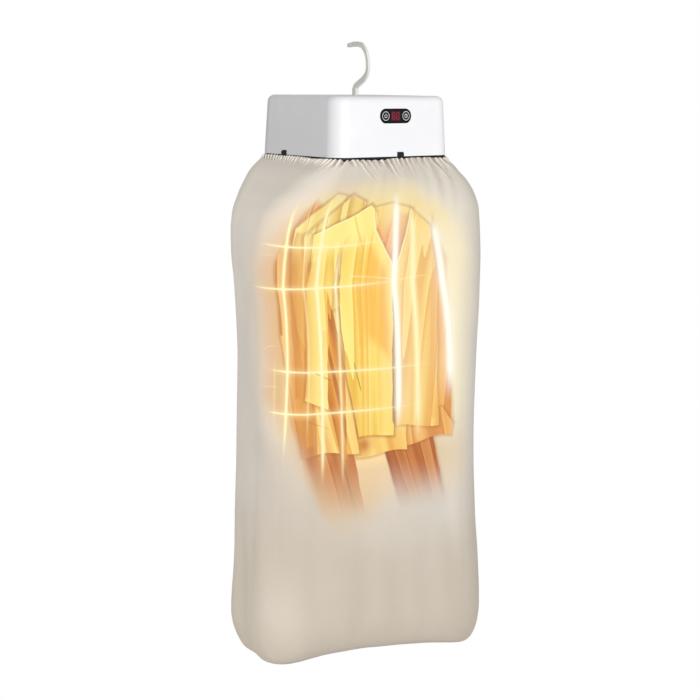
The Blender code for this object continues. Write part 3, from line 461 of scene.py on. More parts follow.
def outline_rect(half_w, half_d, r, corner=16):
    """Points round a rounded rectangle, anticlockwise."""
    pts = []
    for cx, cy, start in ((1, 1, 0), (-1, 1, 90), (-1, -1, 180), (1, -1, 270)):
        for k in range(corner + 1):
            a = math.radians(start + 90 * k / corner)
            pts.append((cx * (half_w - r) + r * math.cos(a), cy * (half_d - r) + r * math.sin(a)))
    out = []
    for p in pts:
        if not out or math.hypot(p[0] - out[-1][0], p[1] - out[-1][1]) > 1e-7:
            out.append(p)
    return out


def plate_in(bm, pts, y0, y1, matrix=None):
    """A flat piece with outline pts in X and Z, from y0 to y1 in depth."""
    m = matrix or Matrix.Identity(4)
    front = [bm.verts.new(m @ Vector((x, y0, z))) for x, z in pts]
    rear = [bm.verts.new(m @ Vector((x, y1, z))) for x, z in pts]
    n = len(pts)
    bm.faces.new(front)
    bm.faces.new(rear[::-1])
    for i in range(n):
        bm.faces.new((front[i], rear[i], rear[(i + 1) % n], front[(i + 1) % n]))


def closed(bm):
    bmesh.ops.recalc_face_normals(bm, faces=bm.faces)
    return bm


def stack(bm, rings, cap_first=False, cap_last=False):
    """Faces between rings of equal length."""
    rows = [[bm.verts.new(p) for p in r] for r in rings]
    n = len(rows[0])
    for a, b in zip(rows, rows[1:]):
        for i in range(n):
            bm.faces.new((a[i], a[(i + 1) % n], b[(i + 1) % n], b[i]))
    if cap_first:
        bm.faces.new(rows[0][::-1])
    if cap_last:
        bm.faces.new(rows[-1])
    return rows


# ------------------------------------------------------------------ housing
def head_ring(z, inset, corner=16):
    rise = (z - Z_RIM) / HEAD_H
    kx, ky = 1 - rise * HEAD_DRAFT / (HEAD_W / 2), 1 - rise * HEAD_DRAFT / (HEAD_D / 2)
    r = max(HEAD_R - inset, 0.004)
    return [(x * kx, y * ky, z) for x, y in
            outline_rect(HEAD_W / 2 - inset, HEAD_D / 2 - inset, r, corner)]


def head_rows(inset, top, r_top, steps):
    rows = [head_ring(Z_RIM + (top - r_top - Z_RIM) * k / 6, inset) for k in range(6)]
    for k in range(steps + 1):
        a = math.radians(90 * k / steps)
        rows.append(head_ring(top - r_top + r_top * math.sin(a), inset + r_top * (1 - math.cos(a))))
    return rows


bm = bmesh.new()
outer = head_rows(0.0, Z_TOP, HEAD_TOP_R, 10)
inner = head_rows(HEAD_WALL, Z_TOP - HEAD_WALL, HEAD_TOP_R - HEAD_WALL, 6)
rows_out = stack(bm, outer)
rows_in = stack(bm, inner)
n = len(rows_out[0])
for i in range(n):
    bm.faces.new((rows_out[0][(i + 1) % n], rows_out[0][i], rows_in[0][i], rows_in[0][(i + 1) % n]))
bm.faces.new(rows_out[-1])
bm.faces.new(rows_in[-1][::-1])
housing = helper("housing_shell", closed(bm))

panel_z = Z_TOP - PANEL_DROP
panel_y = -HEAD_D / 2 + HEAD_DRAFT * (panel_z - Z_RIM) / HEAD_H
PANEL_M = Matrix.Translation((0, panel_y, panel_z)) @ Matrix.Rotation(-LEAN, 4, "X")


def clip_matrix(key):
    at, turned = CLIPS[key]
    return Matrix.Translation(at) @ Matrix.Rotation(math.radians(turned), 4, "Z")


cutters = []
bm = bmesh.new()
rod_in(bm, 0.0080, 0.02, (0, 0, Z_TOP), sides=64)
cutters.append(helper("hook_hole", bm))
bm = bmesh.new()
plate_in(bm, outline_rect(PANEL_W / 2 + GAP, PANEL_H / 2 + GAP, PANEL_H / 2 + GAP - 0.00002, 24), -0.01, 0.01, PANEL_M)
cutters.append(helper("panel_hole", closed(bm)))
bm = bmesh.new()
plate_in(bm, [(x + INTAKE_X, z + INTAKE_Z) for x, z in outline_rect(0.0750, 0.0230, 0.0008, 4)],
         HEAD_D / 2 - 0.015, HEAD_D / 2 + 0.015)
cutters.append(helper("intake_hole", closed(bm)))
bm = bmesh.new()
plate_in(bm, [(x + INLET_X, z + INLET_Z) for x, z in outline_rect(0.0135, 0.0080, 0.0006, 4)],
         HEAD_D / 2 - 0.015, HEAD_D / 2 + 0.015)
cutters.append(helper("inlet_hole", closed(bm)))
for key in CLIPS:
    bm = bmesh.new()
    verts = box_in(bm, (CLIP_W + 0.0008, 0.0180, 0.0150), (0, 0.0010, -0.0045))
    bmesh.ops.transform(bm, verts=verts, matrix=clip_matrix(key))
    cutters.append(helper(f"clip_hole_{key}", bm))
housing.data.materials.append(WHITE)
cut(housing, cutters)
soften(housing, 0.0006, 2)
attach(housing, "head")
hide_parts("upper_housing")

# ------------------------------------------------------------------ intake grille
in_y = HEAD_D / 2 - HEAD_DRAFT * (INTAKE_Z - Z_RIM) / HEAD_H
GRILLE_M = Matrix.Translation((INTAKE_X, in_y - 0.0012, INTAKE_Z)) @ Matrix.Rotation(LEAN, 4, "X")
bm = bmesh.new()
plate_in(bm, outline_rect(0.0750 - GAP, 0.0230 - GAP, 0.0006, 3), -0.0020, 0.0020, GRILLE_M)
grille = helper("intake_louvres", closed(bm))
grille.data.materials.append(WHITE)
bm = bmesh.new()
for i in range(12):
    plate_in(bm, [(x + (i - 5.5) * 0.0118, z) for x, z in outline_rect(0.00325, 0.0170, 0.0031, 8)],
             -0.01, 0.01, GRILLE_M)
cut(grille, [helper("louvre_slots", closed(bm))])
soften(grille, 0.0005, 2)
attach(grille, "head")
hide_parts("intake_grille")

# ------------------------------------------------------------------ control panel
bm = bmesh.new()
plate_in(bm, outline_rect(PANEL_W / 2, PANEL_H / 2, PANEL_H / 2 - 0.00002, 32), -0.0006, 0.0024, PANEL_M)
fascia = helper("panel_face", closed(bm))
fascia.data.materials.append(GLOSS)
holes = []
for sx in (-1, 1):
    bm = bmesh.new()
    verts = rod_in(bm, BUTTON_R + GAP, 0.02, (sx * BUTTON_X, 0, 0), "Y", 72)
    bmesh.ops.transform(bm, verts=verts, matrix=PANEL_M)
    holes.append(helper("button_well", bm))
bm = bmesh.new()
plate_in(bm, outline_rect(0.0120, 0.0095, 0.0012, 6), -0.01, 0.01, PANEL_M)
holes.append(helper("window", closed(bm)))
cut(fascia, holes)
soften(fascia, 0.00028, 3)
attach(fascia, "head")
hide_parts("panel_fascia")


def sector(r0, r1, a0, a1, steps):
    """Outline of a ring's arc, with angles in degrees from +X towards +Z."""
    arc = [math.radians(a0 + (a1 - a0) * k / steps) for k in range(steps + 1)]
    return ([(r1 * math.cos(a), r1 * math.sin(a)) for a in arc]
            + [(r0 * math.cos(a), r0 * math.sin(a)) for a in reversed(arc)])


def bar(x0, z0, x1, z1, half):
    """Outline of a straight stroke with round ends."""
    a = math.atan2(z1 - z0, x1 - x0)
    out = [(x1 + half * math.cos(a + math.radians(d)), z1 + half * math.sin(a + math.radians(d)))
           for d in range(-90, 91, 30)]
    out += [(x0 + half * math.cos(a + math.radians(d)), z0 + half * math.sin(a + math.radians(d)))
            for d in range(90, 271, 30)]
    return out


def ring_plate(bm, r0, r1, y0, y1, at, matrix, steps=72):
    loops = []
    for r, y in ((r0, y1), (r0, y0), (r1, y0), (r1, y1)):
        loops.append([bm.verts.new(matrix @ Vector((at[0] + r * math.cos(math.tau * k / steps), y,
                                                     at[1] + r * math.sin(math.tau * k / steps))))
                      for k in range(steps)])
    for j in range(4):
        a, b = loops[j], loops[(j + 1) % 4]
        for i in range(steps):
            bm.faces.new((a[i], a[(i + 1) % steps], b[(i + 1) % steps], b[i]))


for tag, sx in (("power", -1), ("timer", 1)):
    x0 = sx * BUTTON_X
    # a low dome with a rounded rim over the button's plain stem and flange
    profile = [(0.0, -0.00105), (0.0035, -0.00104), (0.0070, -0.00101), (0.0088, -0.00097), (0.0093, -0.00088),
               (0.0096, -0.00072), (0.00975, -0.00045), (BUTTON_R, 0.0), (BUTTON_R, 0.0028), (0.0106, 0.0028),
               (0.0106, 0.0038), (0.0, 0.0038)]
    bm = bmesh.new()
    steps = 96
    loops = []
    for r, y in profile[1:-1]:
        loops.append([PANEL_M @ Vector((x0 + r * math.cos(math.tau * k / steps), y,
                                        r * math.sin(math.tau * k / steps))) for k in range(steps)])
    rows = stack(bm, loops)
    for row, (r, y) in ((rows[0], profile[0]), (rows[-1], profile[-1])):
        mid = bm.verts.new(PANEL_M @ Vector((x0, y, 0)))
        for i in range(steps):
            bm.faces.new((mid, row[i], row[(i + 1) % steps]))
    piece(f"{tag}_cap", closed(bm), CAP, f"{tag}_button", (f"{tag}_button",), smooth=40)
    # printed ring and sign, a tenth of a millimetre proud
    bm = bmesh.new()
    top = -0.00101
    ring_plate(bm, 0.0080, 0.0090, top - 0.00007, top + 0.00020, (x0, 0.0), PANEL_M)
    shapes = []
    if tag == "power":
        shapes = [sector(0.0027, 0.0037, 90 + 38, 90 + 322, 30), bar(0, 0.0012, 0, 0.0044, 0.0005)]
    else:
        shapes = [sector(0.0030, 0.0040, 0.0, 357.0, 44), bar(0, 0.0, 0, 0.0022, 0.00045), bar(0, 0, 0.0015, -0.0009, 0.00045)]
    for s in shapes:
        plate_in(bm, [(x + x0, z) for x, z in s], top - 0.00011, top + 0.00016, PANEL_M)
    piece(f"{tag}_sign", closed(bm), MARK, f"{tag}_button", smooth=30)

# two figures of seven segments behind the window
SEGMENTS = {"a": (0, 1, True), "b": (1, 0.5, False), "c": (1, -0.5, False), "d": (0, -1, True),
            "e": (-1, -0.5, False), "f": (-1, 0.5, False), "g": (0, 0, True)}
FIGURES = {"6": "acdefg", "0": "abcdef"}
FIG_W, FIG_H, SEG_T = 0.0084, 0.0148, 0.0019
FACE_Y = -0.0002


def segment(kind, x0):
    cx, cz, flat = SEGMENTS[kind]
    cx, cz = x0 + cx * (FIG_W - SEG_T) / 2, cz * (FIG_H - SEG_T) / 2
    half = ((FIG_W - SEG_T) / 2 if flat else (FIG_H - SEG_T) / 4) - 0.00018
    t = SEG_T / 2
    pts = [(-half, 0), (-half + t, t), (half - t, t), (half, 0), (half - t, -t), (-half + t, -t)]
    if not flat:
        pts = [(-z, x) for x, z in pts]
    return [(x + cx + (z + cz) * 0.07, z + cz) for x, z in pts]


lit, dark = bmesh.new(), bmesh.new()
for figure, x0 in (("6", -0.0052), ("0", 0.0052)):
    for kind in SEGMENTS:
        plate_in(lit if kind in FIGURES[figure] else dark, segment(kind, x0), FACE_Y - 0.00016, FACE_Y - 0.00001, PANEL_M)
piece("display_figures", closed(lit), LIT, "head", smooth=30)
piece("display_dark_segments", closed(dark), UNLIT, "head", smooth=30)
bm = bmesh.new()
plate_in(bm, outline_rect(0.0117, 0.0092, 0.0009, 6), FACE_Y, FACE_Y + 0.0082, PANEL_M)
module = piece("display_block", closed(bm), DISPLAY, "head", ("display_module",))
soften(module, 0.0002, 2)

# ------------------------------------------------------------------ bag clips
for key in CLIPS:
    profile = []
    raw = [(0.0018, -0.0080), (0.0018, 0.0016), (0.0009, 0.0023), (-0.0009, 0.0023), (-0.0022, 0.0012),
           (-0.0037, -0.0008), (-0.0037, -0.0026), (-0.0034, -0.0029), (-0.0034, -0.0033), (-0.0037, -0.0036),
           (-0.0037, -0.0046), (-0.0034, -0.0049), (-0.0034, -0.0053), (-0.0037, -0.0056), (-0.0037, -0.0080)]
    m = clip_matrix(key)
    bm = bmesh.new()
    ends = []
    for x in (-CLIP_W / 2, CLIP_W / 2):
        ends.append([bm.verts.new(m @ Vector((x, y, z))) for y, z in raw])
    k = len(raw)
    bm.faces.new(ends[0])
    bm.faces.new(ends[1][::-1])
    for i in range(k):
        bm.faces.new((ends[0][i], ends[1][i], ends[1][(i + 1) % k], ends[0][(i + 1) % k]))
    clip = helper(f"clip_block_{key}", closed(bm))
    clip.data.materials.append(BLACK)
    bm = bmesh.new()
    verts = rod_in(bm, 0.0008 + GAP, 0.03, (0, 0, 0), "X", 24)
    bmesh.ops.transform(bm, verts=verts, matrix=m)
    cut(clip, [helper("clip_bore", bm)])
    soften(clip, 0.00035, 2, 25)
    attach(clip, f"clip_{key}")
    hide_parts(f"bag_clip_{key}")

# ------------------------------------------------------------------ hook
HOOK_LINE = [(0.0000, -0.0835, 0.0058), (-0.0025, -0.0796, 0.0057), (-0.0078, -0.0763, 0.0057),
             (-0.0143, -0.0726, 0.0057), (-0.0215, -0.0686, 0.0057), (-0.0284, -0.0641, 0.0055),
             (-0.0338, -0.0589, 0.0051), (-0.0377, -0.0539, 0.0047), (-0.0396, -0.0489, 0.0044),
             (-0.0408, -0.0430, 0.0042), (-0.0406, -0.0350, 0.0041), (-0.0395, -0.0270, 0.0041),
             (-0.0374, -0.0191, 0.0041), (-0.0351, -0.0131, 0.0043), (-0.0320, -0.0081, 0.0045),
             (-0.0284, -0.0035, 0.0048), (-0.0224, 0.0014, 0.0051), (-0.0145, 0.0040, 0.0052),
             (-0.0046, 0.0051, 0.0052), (0.0054, 0.0048, 0.0050), (0.0154, 0.0038, 0.0045),
             (0.0215, 0.0029, 0.0041)]
HOOK_T = 0.0060


def through(rows, steps):
    """A smooth curve through the given points."""
    out = []
    for i in range(len(rows) - 1):
        a, b = rows[max(i - 1, 0)], rows[i]
        c, d = rows[i + 1], rows[min(i + 2, len(rows) - 1)]
        for k in range(steps):
            t = k / steps
            out.append(tuple(0.5 * (2 * q + (r - p) * t + (2 * p - 5 * q + 4 * r - s) * t * t
                                    + (3 * q - p - 3 * r + s) * t ** 3)
                             for p, q, r, s in zip(a, b, c, d)))
    out.append(rows[-1])
    return out


line = through(HOOK_LINE, 6)
stations = []
for i, (y, z, half) in enumerate(line):
    y0, z0, _ = line[max(i - 1, 0)]
    y1, z1, _ = line[min(i + 1, len(line) - 1)]
    l = math.hypot(y1 - y0, z1 - z0)
    ty, tz = (y1 - y0) / l, (z1 - z0) / l
    stations.append([y, z, half, ty, tz])
y, z, half, ty, tz = stations[-1]
for k in range(1, 9):
    a = math.radians(90 * k / 8)
    stations.append([y + ty * half * math.sin(a), z + tz * half * math.sin(a), max(half * math.cos(a), 0.00025), ty, tz])


def hook_section(st, share, total):
    y, z, w, ty, tz = st
    ny, nz = -tz, ty
    h = HOOK_T / 2
    c = min(0.0007, w * 0.45)
    e = min(0.00150, w * 0.42)
    fade = min(1.0, share / 0.10) * min(1.0, max(0.0, (total - share) / 0.035))
    fade = fade * fade * (3 - 2 * fade)
    g = 0.0012 * fade
    hh = h - (0.0012 * max(0.0, 1 - w / 0.0035) if w < 0.0035 else 0.0)
    k = min(0.0003, e * 0.2)
    pts = [(w, hh - c), (w - c * 0.3, hh - c * 0.3), (w - c, hh), (w - e + k, hh), (w - e, hh - min(k, g)),
           (w - e - 0.0003 * fade, hh - g), (0.0, hh - g), (-w + e + 0.0003 * fade, hh - g), (-w + e, hh - min(k, g)),
           (-w + e - k, hh), (-w + c, hh), (-w + c * 0.3, hh - c * 0.3), (-w, hh - c)]
    pts += [(n, -x) for n, x in reversed(pts)]
    return [(x, y + ny * n, z + nz * n) for n, x in pts]


# lengths along the line, so that the grooves fade out at both ends
marks = [0.0]
for a, b in zip(stations, stations[1:]):
    marks.append(marks[-1] + math.hypot(b[0] - a[0], b[1] - a[1]))
bm = bmesh.new()
stack(bm, [hook_section(s, m, marks[-1]) for s, m in zip(stations, marks)], True, True)
hook = helper("hook_arm", closed(bm))
hook.data.materials.append(CREAM)
joined = []
bm = bmesh.new()
rings = []
for z, grow in ((0.0005, -0.0005), (0.0010, 0.0), (0.0145, 0.0), (0.0157, -0.0004), (0.0160, -0.0012)):
    rings.append([(x, y, Z_TOP + z) for x, y in outline_rect(0.0040 + grow, 0.0060 + grow, 0.0011, 5)])
stack(bm, rings, True, True)
joined.append(helper("hook_stem", closed(bm)))
bm = bmesh.new()
rod_in(bm, 0.0060, 0.0120, (0, 0, Z_TOP + 0.0015 - 0.0060), sides=48)
joined.append(helper("hook_journal", bm))
bm = bmesh.new()
rod_in(bm, 0.0040, 0.0190, (0, 0, Z_TOP - 0.0165), sides=40)
joined.append(helper("hook_thread", bm))
cut(hook, joined, "UNION")
soften(hook, 0.00018, 1, 50)
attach(hook, "hook")
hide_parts("hook")

# ------------------------------------------------------------------ cover
def curve_through(xs, ys, at):
    """A smooth curve through the points that doesn't overshoot between them."""
    xs, ys, at = (np.asarray(v, float) for v in (xs, ys, at))
    h = np.diff(xs)
    d = np.diff(ys) / h
    m = np.zeros(len(xs))
    m[0], m[-1] = d[0], d[-1]
    for i in range(1, len(xs) - 1):
        if d[i - 1] * d[i] > 0:
            w1, w2 = 2 * h[i] + h[i - 1], h[i] + 2 * h[i - 1]
            m[i] = (w1 + w2) / (w1 / d[i - 1] + w2 / d[i])
    i = np.clip(np.searchsorted(xs, at) - 1, 0, len(xs) - 2)
    t = (at - xs[i]) / h[i]
    return ((2 * t ** 3 - 3 * t ** 2 + 1) * ys[i] + (t ** 3 - 2 * t ** 2 + t) * h[i] * m[i]
            + (-2 * t ** 3 + 3 * t ** 2) * ys[i + 1] + (t ** 3 - t ** 2) * h[i] * m[i + 1])


def smooth01(x):
    x = np.clip(x, 0.0, 1.0)
    return x * x * (3 - 2 * x)


# Columns of points run down the cover, side by side round it: corners, long sides and short sides.
C_N, L_N, S_N = 104, 252, 180
columns = []
order = [(1, 1, 0), (-1, 1, 90), (-1, -1, 180), (1, -1, 270)]
for q, (cx, cy, start) in enumerate(order):
    for k in range(C_N):
        a = math.radians(start + 90 * k / C_N)
        columns.append((cx, cy, math.cos(a), math.sin(a), cx, cy, math.cos(a), math.sin(a), 0.0, 0))
    nx, ny, _ = order[(q + 1) % 4]
    a = math.radians(start + 90)
    count = L_N if q % 2 == 0 else S_N
    for k in range(count):
        columns.append((cx, cy, math.cos(a), math.sin(a), nx, ny, math.cos(a), math.sin(a), k / count, 1 + q % 2))
col = np.array(columns)
N = len(col)

# Rows run from the hem down the walls, round the lower edge and to the middle of the floor.
zs = np.concatenate([np.linspace(BAG_TOP, -0.2670, 28, endpoint=False), np.linspace(-0.2670, -0.3300, 26, endpoint=False),
                     np.linspace(-0.3300, -1.1580, 104)])
FINE, MIDDLE = 28, 54  # rows above these have every column, or every second one; below it is every fourth
rows_in = np.array(BAG_ROWS)[::-1]
w, d, r, drift = (curve_through(rows_in[:, 0], rows_in[:, k], zs) for k in range(1, 5))
fillet = np.radians(np.linspace(0, 90, 15)[1:])
z_f = zs[-1] - (zs[-1] - BAG_FLOOR) * np.sin(fillet)
inset = BAG_INSET * (1 - np.cos(fillet))
shrink = np.linspace(1.0, 0.03, 15)[1:]
zs_all = np.concatenate([zs, z_f, np.full(len(shrink), BAG_FLOOR)])
w_all = np.concatenate([w, w[-1] - inset, (w[-1] - BAG_INSET) * shrink])
d_all = np.concatenate([d, d[-1] - inset, (d[-1] - BAG_INSET) * shrink])
r_all = np.concatenate([r, r[-1] - inset, (r[-1] - BAG_INSET) * shrink])
drift_all = np.concatenate([drift, np.full(len(fillet) + len(shrink), drift[-1])])
R = len(zs_all)


def local_ring(W, D, RR):
    ax, ay, ca, sa, bx, by, cb, sb, t, side = col.T
    pa = ax * (W[:, None] - RR[:, None]) + RR[:, None] * ca
    pb = bx * (W[:, None] - RR[:, None]) + RR[:, None] * cb
    qa = ay * (D[:, None] - RR[:, None]) + RR[:, None] * sa
    qb = by * (D[:, None] - RR[:, None]) + RR[:, None] * sb
    return pa + (pb - pa) * t, qa + (qb - qa) * t


X, Y = local_ring(w_all, d_all, r_all)
# the flat sides swell a little between the corners
swell = smooth01((-0.24 - zs_all) / 0.12) * smooth01((zs_all + 1.215) / 0.25)
t, side = col[:, 8], col[:, 9]
push = np.where(side == 1, 0.0050, np.where(side == 2, 0.0016, 0.0)) * (1 - (2 * t - 1) ** 2) ** 1.5
Y = Y + np.sign(Y) * np.where(side == 1, push, 0.0)[None, :] * swell[:, None]
X = X + np.sign(X) * np.where(side == 2, push, 0.0)[None, :] * swell[:, None]


def round_length(j):
    """Distance round the cover along row j, to each column."""
    dx = np.diff(np.append(X[j], X[j, 0]))
    dy = np.diff(np.append(Y[j], Y[j, 0]))
    return np.concatenate([[0], np.cumsum(np.hypot(dx, dy))])


# distances are counted from the middle of the front, to the right
neck = round_length(0)
mid_row = int(np.argmin(np.abs(zs - (-0.62))))
body = round_length(mid_row)
front_cols = np.where((Y[mid_row] < -0.9 * Y[mid_row].max()) & (np.abs(X[mid_row]) < 0.01))[0]
zero = int(front_cols[np.argmin(np.abs(X[mid_row, front_cols]))])
L0, Lb = neck[-1], body[-1]
neck_s = (neck[:-1] - neck[zero] + L0 * 1.5) % L0 - L0 / 2
body_s = (body[:-1] - body[zero] + Lb * 1.5) % Lb - Lb / 2

turn_all = BAG_TURN * np.clip((Z_RIM - 0.018 - zs_all) / 0.235, 0, 1)
sag = smooth01((-0.93 - zs_all) / 0.24)
span = np.maximum(w_all, w[-1] - BAG_INSET)
drop = sag[:, None] * (BAG_SAG * (X / span[:, None]) ** 2 + 0.018 * X)
# the floor hangs a little lower in the middle of the front and at the left rear corner
low_part = smooth01((-1.02 - zs_all) / 0.16)[:, None]
drop = drop + low_part * (0.0085 * np.exp(-((X - 0.03) / 0.15) ** 2) * (0.7 - 0.3 * np.sign(Y) * np.minimum(1, np.abs(Y) / 0.1))
                          + 0.0120 * np.exp(-((X + 0.25) / 0.08) ** 2) * smooth01((Y + 0.03) / 0.12))
ct, st_ = np.cos(turn_all)[:, None], np.sin(turn_all)[:, None]
PX = X * ct - Y * st_ + (drift_all * math.cos(BAG_DRIFT))[:, None]
PY = X * st_ + Y * ct + (drift_all * math.sin(BAG_DRIFT))[:, None]
PZ = zs_all[:, None] - drop
P = np.stack([PX, PY, PZ], -1)

normal = np.cross(np.gradient(P, axis=0), np.roll(P, -1, 1) - np.roll(P, 1, 1))
normal /= np.maximum(np.linalg.norm(normal, axis=-1, keepdims=True), 1e-12)
if ((normal[mid_row] * (P[mid_row] - P[mid_row].mean(0))).sum(-1)).mean() < 0:
    normal = -normal
depth = np.concatenate([np.zeros((1, N)), np.cumsum(np.linalg.norm(np.diff(P, axis=0), axis=-1), 0)])


def waves(rng, count, low, high, along):
    """Sum of slow waves round the cover and along its height, between about -1 and 1."""
    terms = [(int(rng.integers(low, high + 1)), rng.uniform(*along), rng.uniform(0, math.tau), rng.uniform(0.5, 1.0))
             for _ in range(count)]
    norm = math.sqrt(sum(t[3] ** 2 for t in terms) / 2)

    def field(s, length, z):
        out = 0.0
        for k, f, ph, a in terms:
            out = out + a * np.sin(math.tau * k * s / length + f * z * math.tau + ph)
        return out / norm
    return field


S = np.broadcast_to(neck_s[None, :], (R, N))
B = np.broadcast_to(body_s[None, :], (R, N))
Z = np.broadcast_to(zs_all[:, None], (R, N))

# Gathers: each is a narrow crest between two hollows, deepest at the hem and gone a few centimetres below it.
G = 62
Sg, Dg = S[:G], depth[:G]
gather = np.zeros((R, N))
hem = np.zeros(N)
s = -L0 / 2
while s < L0 / 2 - 0.007:
    side_wall = -0.40 < s < -0.15  # finer gathers along the left side
    gap = rng.uniform(0.0100, 0.0185) * (0.62 if side_wall else 1.0)
    s0 = s + gap / 2
    s += gap
    flank = smooth01((min(abs(abs(s0) - 0.267), 0.13) - 0.13) / -0.06)  # 1 on the narrow sides
    rear = abs(s0) > 0.40
    high = rng.uniform(0.0028, 0.0050)
    if s0 > -0.13 and not rear:
        # over the front the gathers slant to the right
        long = rng.choice([0.024, 0.036, 0.050, 0.064], p=[0.22, 0.32, 0.28, 0.18]) * rng.uniform(0.85, 1.15)
        long = long if s0 > 0.02 else 0.75 * long
        lean = 0.45 - (1.5 if s0 > 0 else 6.4) * s0 + rng.uniform(-0.12, 0.12)
    else:
        long = rng.choice([0.018, 0.026, 0.036, 0.048], p=[0.24, 0.34, 0.28, 0.14]) * rng.uniform(0.85, 1.15)
        if s0 < 0 and not rear:
            long = 0.5 * long + 0.008
        lean = rng.uniform(-0.14, 0.16) + (0.22 if side_wall else 0.0)
    long = long + (0.020 * rng.uniform(0.8, 1.3) - long) * flank * 0.85
    if -0.215 < s0 < -0.120:
        # at the left corner they slant to the left
        long, lean = rng.uniform(0.022, 0.034), rng.uniform(-0.10, 0.14)
    ds = (Sg - s0 - lean * Dg + L0 / 2) % L0 - L0 / 2
    fade = np.clip(1 - Dg / long, 0, 1) ** 1.05
    a = rng.uniform(0.0019, 0.0028) * (1 + 0.5 * Dg / long) * (0.75 if side_wall else 1.0)
    off = rng.choice([-1, 1]) * rng.uniform(0.0034, 0.0052)
    gather[:G] += high * fade * (np.exp(-(np.abs(ds) / a) ** 1.5) - 0.62 * np.exp(-((ds - off) / (gap * 0.22)) ** 2)
                                 - 0.30 * np.exp(-((ds + off) / (gap * 0.20)) ** 2))
    dh = (neck_s - s0 - off + L0 / 2) % L0 - L0 / 2
    where = math.exp(-((s0 + 0.100) / 0.075) ** 2)
    notch = rng.uniform(0.0016, 0.0030 + 0.0026 * where) if rng.random() < (0.42 if s0 > -0.14 else 0.14) + 0.45 * where else rng.uniform(0.0, 0.0008)
    hem = np.minimum(hem, -notch * np.exp(-(np.abs(dh) / rng.uniform(0.0022, 0.0040)) ** 1.3))
# small puckers right at the stitching
s = -L0 / 2
while s < L0 / 2 - 0.003:
    gap = rng.uniform(0.0040, 0.0075)
    ds = (Sg - s - gap / 2 + L0 / 2) % L0 - L0 / 2
    long = rng.uniform(0.008, 0.020)
    gather[:G] -= rng.uniform(0.0005, 0.0013) * np.clip(1 - Dg / long, 0, 1) * np.exp(-(np.abs(ds) / (gap * 0.28)) ** 1.5)
    s += gap
# the gathers' relief, kept to paint highlights on their crests and shade in their hollows
fold_light_and_shade = gather * (1 + 0.6 * smooth01((-0.16 - S) / 0.05) * smooth01((S + 0.44) / 0.06))
# the gathers' soft ends over the shoulder
fewer = 1 - 0.85 * smooth01((-0.04 - S) / 0.07) * smooth01((S + 0.47) / 0.05)
gather += fewer * 0.0006 * waves(rng, 7, 18, 46, (-0.5, 0.5))(S, L0, Z) * smooth01((0.14 - depth) / 0.11) * smooth01(depth / 0.02)
gather += 0.0004 * smooth01((0.030 - depth) / 0.030)
# at the stitching the hem lies flat against the tray's edge, most on the left side and at the front's right end
at_end = smooth01((neck_s - 0.09) / 0.05) * smooth01((0.30 - neck_s) / 0.10)
at_side = smooth01((-0.13 - neck_s) / 0.05) * smooth01((neck_s + 0.44) / 0.06)
gather *= 1 - (0.40 + 0.50 * np.maximum(at_end, at_side)) * smooth01((0.007 - depth) / 0.007)
gather += 0.0009 * smooth01((0.009 - depth) / 0.009)

# slow hollows and swellings of hanging cloth, slacker in the lower part
settle = smooth01((-0.30 - Z) / 0.25)
loose = settle * (0.0016 * waves(rng, 8, 1, 5, (0.4, 1.6))(B, Lb, Z) + 0.0006 * waves(rng, 10, 3, 11, (0.8, 3.2))(B, Lb, Z)
                  + 0.0003 * waves(rng, 6, 8, 18, (0.05, 0.45))(B, Lb, Z))
loose += smooth01((-0.85 - Z) / 0.3) * (0.0010 * waves(rng, 8, 2, 7, (1.5, 4.0))(B, Lb, Z)
                                        + 0.0007 * waves(rng, 6, 10, 24, (0.5, 2.5))(B, Lb, Z))

# the back and the right side hang in soft upright folds
behind = np.maximum(smooth01((B - 0.28) / 0.10), smooth01((-B - 0.44) / 0.10)) * smooth01((-0.25 - Z) / 0.16) * smooth01((Z + 1.24) / 0.10)
loose += behind * (0.0021 * waves(np.random.default_rng(91), 7, 9, 19, (0.05, 0.40))(B, Lb, Z)
                   + 0.0012 * waves(np.random.default_rng(92), 6, 4, 9, (0.6, 1.6))(B, Lb, Z))

# seams down the cover: the left one flat, the right one drawn up by its stitching
SEAM_LEFT, SEAM_RIGHT = -0.226, 0.185


def seam(at, deep, pucker, period, top, bottom):
    ds = (B - at + Lb / 2) % Lb - Lb / 2
    here = smooth01((top - Z) / 0.08) * smooth01((Z - bottom) / 0.05)
    groove = -deep * np.exp(-(np.abs(ds) / 0.0022) ** 1.6)
    wob = 0.35 * np.sin(Z * 61.0 + at * 40) + 0.25 * np.sin(Z * 23.0 + 1.3)
    ripple = np.sin(Z * math.tau / period + wob * 2.2 + np.abs(ds) * 110.0)
    strength = 0.55 + 0.45 * np.sin(Z * 9.0 + 2.0)
    return here * (groove + pucker * strength * ripple * np.exp(-(ds / 0.013) ** 2))


loose += seam(SEAM_LEFT, 0.0006, 0.00018, 0.042, -0.30, -1.16)
loose += seam(SEAM_RIGHT, 0.0009, 0.00080, 0.033, -0.62, -1.14)
# the floor's seam is puckered round the lower edge
loose += np.exp(-((Z + 1.205) / 0.020) ** 2) * 0.0010 * waves(rng, 9, 14, 40, (-2.0, 2.0))(B, Lb, Z)

loose *= 1 - 0.75 * smooth01((-1.150 - Z) / 0.06)
# the left shoulder and the lower left side are full
left = np.exp(-((B + 0.45) / 0.13) ** 2)
loose += left * (0.0075 * np.exp(-((Z + 0.262) / 0.030) ** 2) + 0.0045 * smooth01((-0.62 - Z) / 0.2) * smooth01((Z + 1.24) / 0.06))
P = P + normal * (gather + loose)[..., None]
# the hem is pulled down at the notches, and its edge is folded in under the skirt
hem = hem + 0.0008 * waves(np.random.default_rng(77), 9, 3, 14, (0.0, 0.0))(neck_s, L0, 0.0)
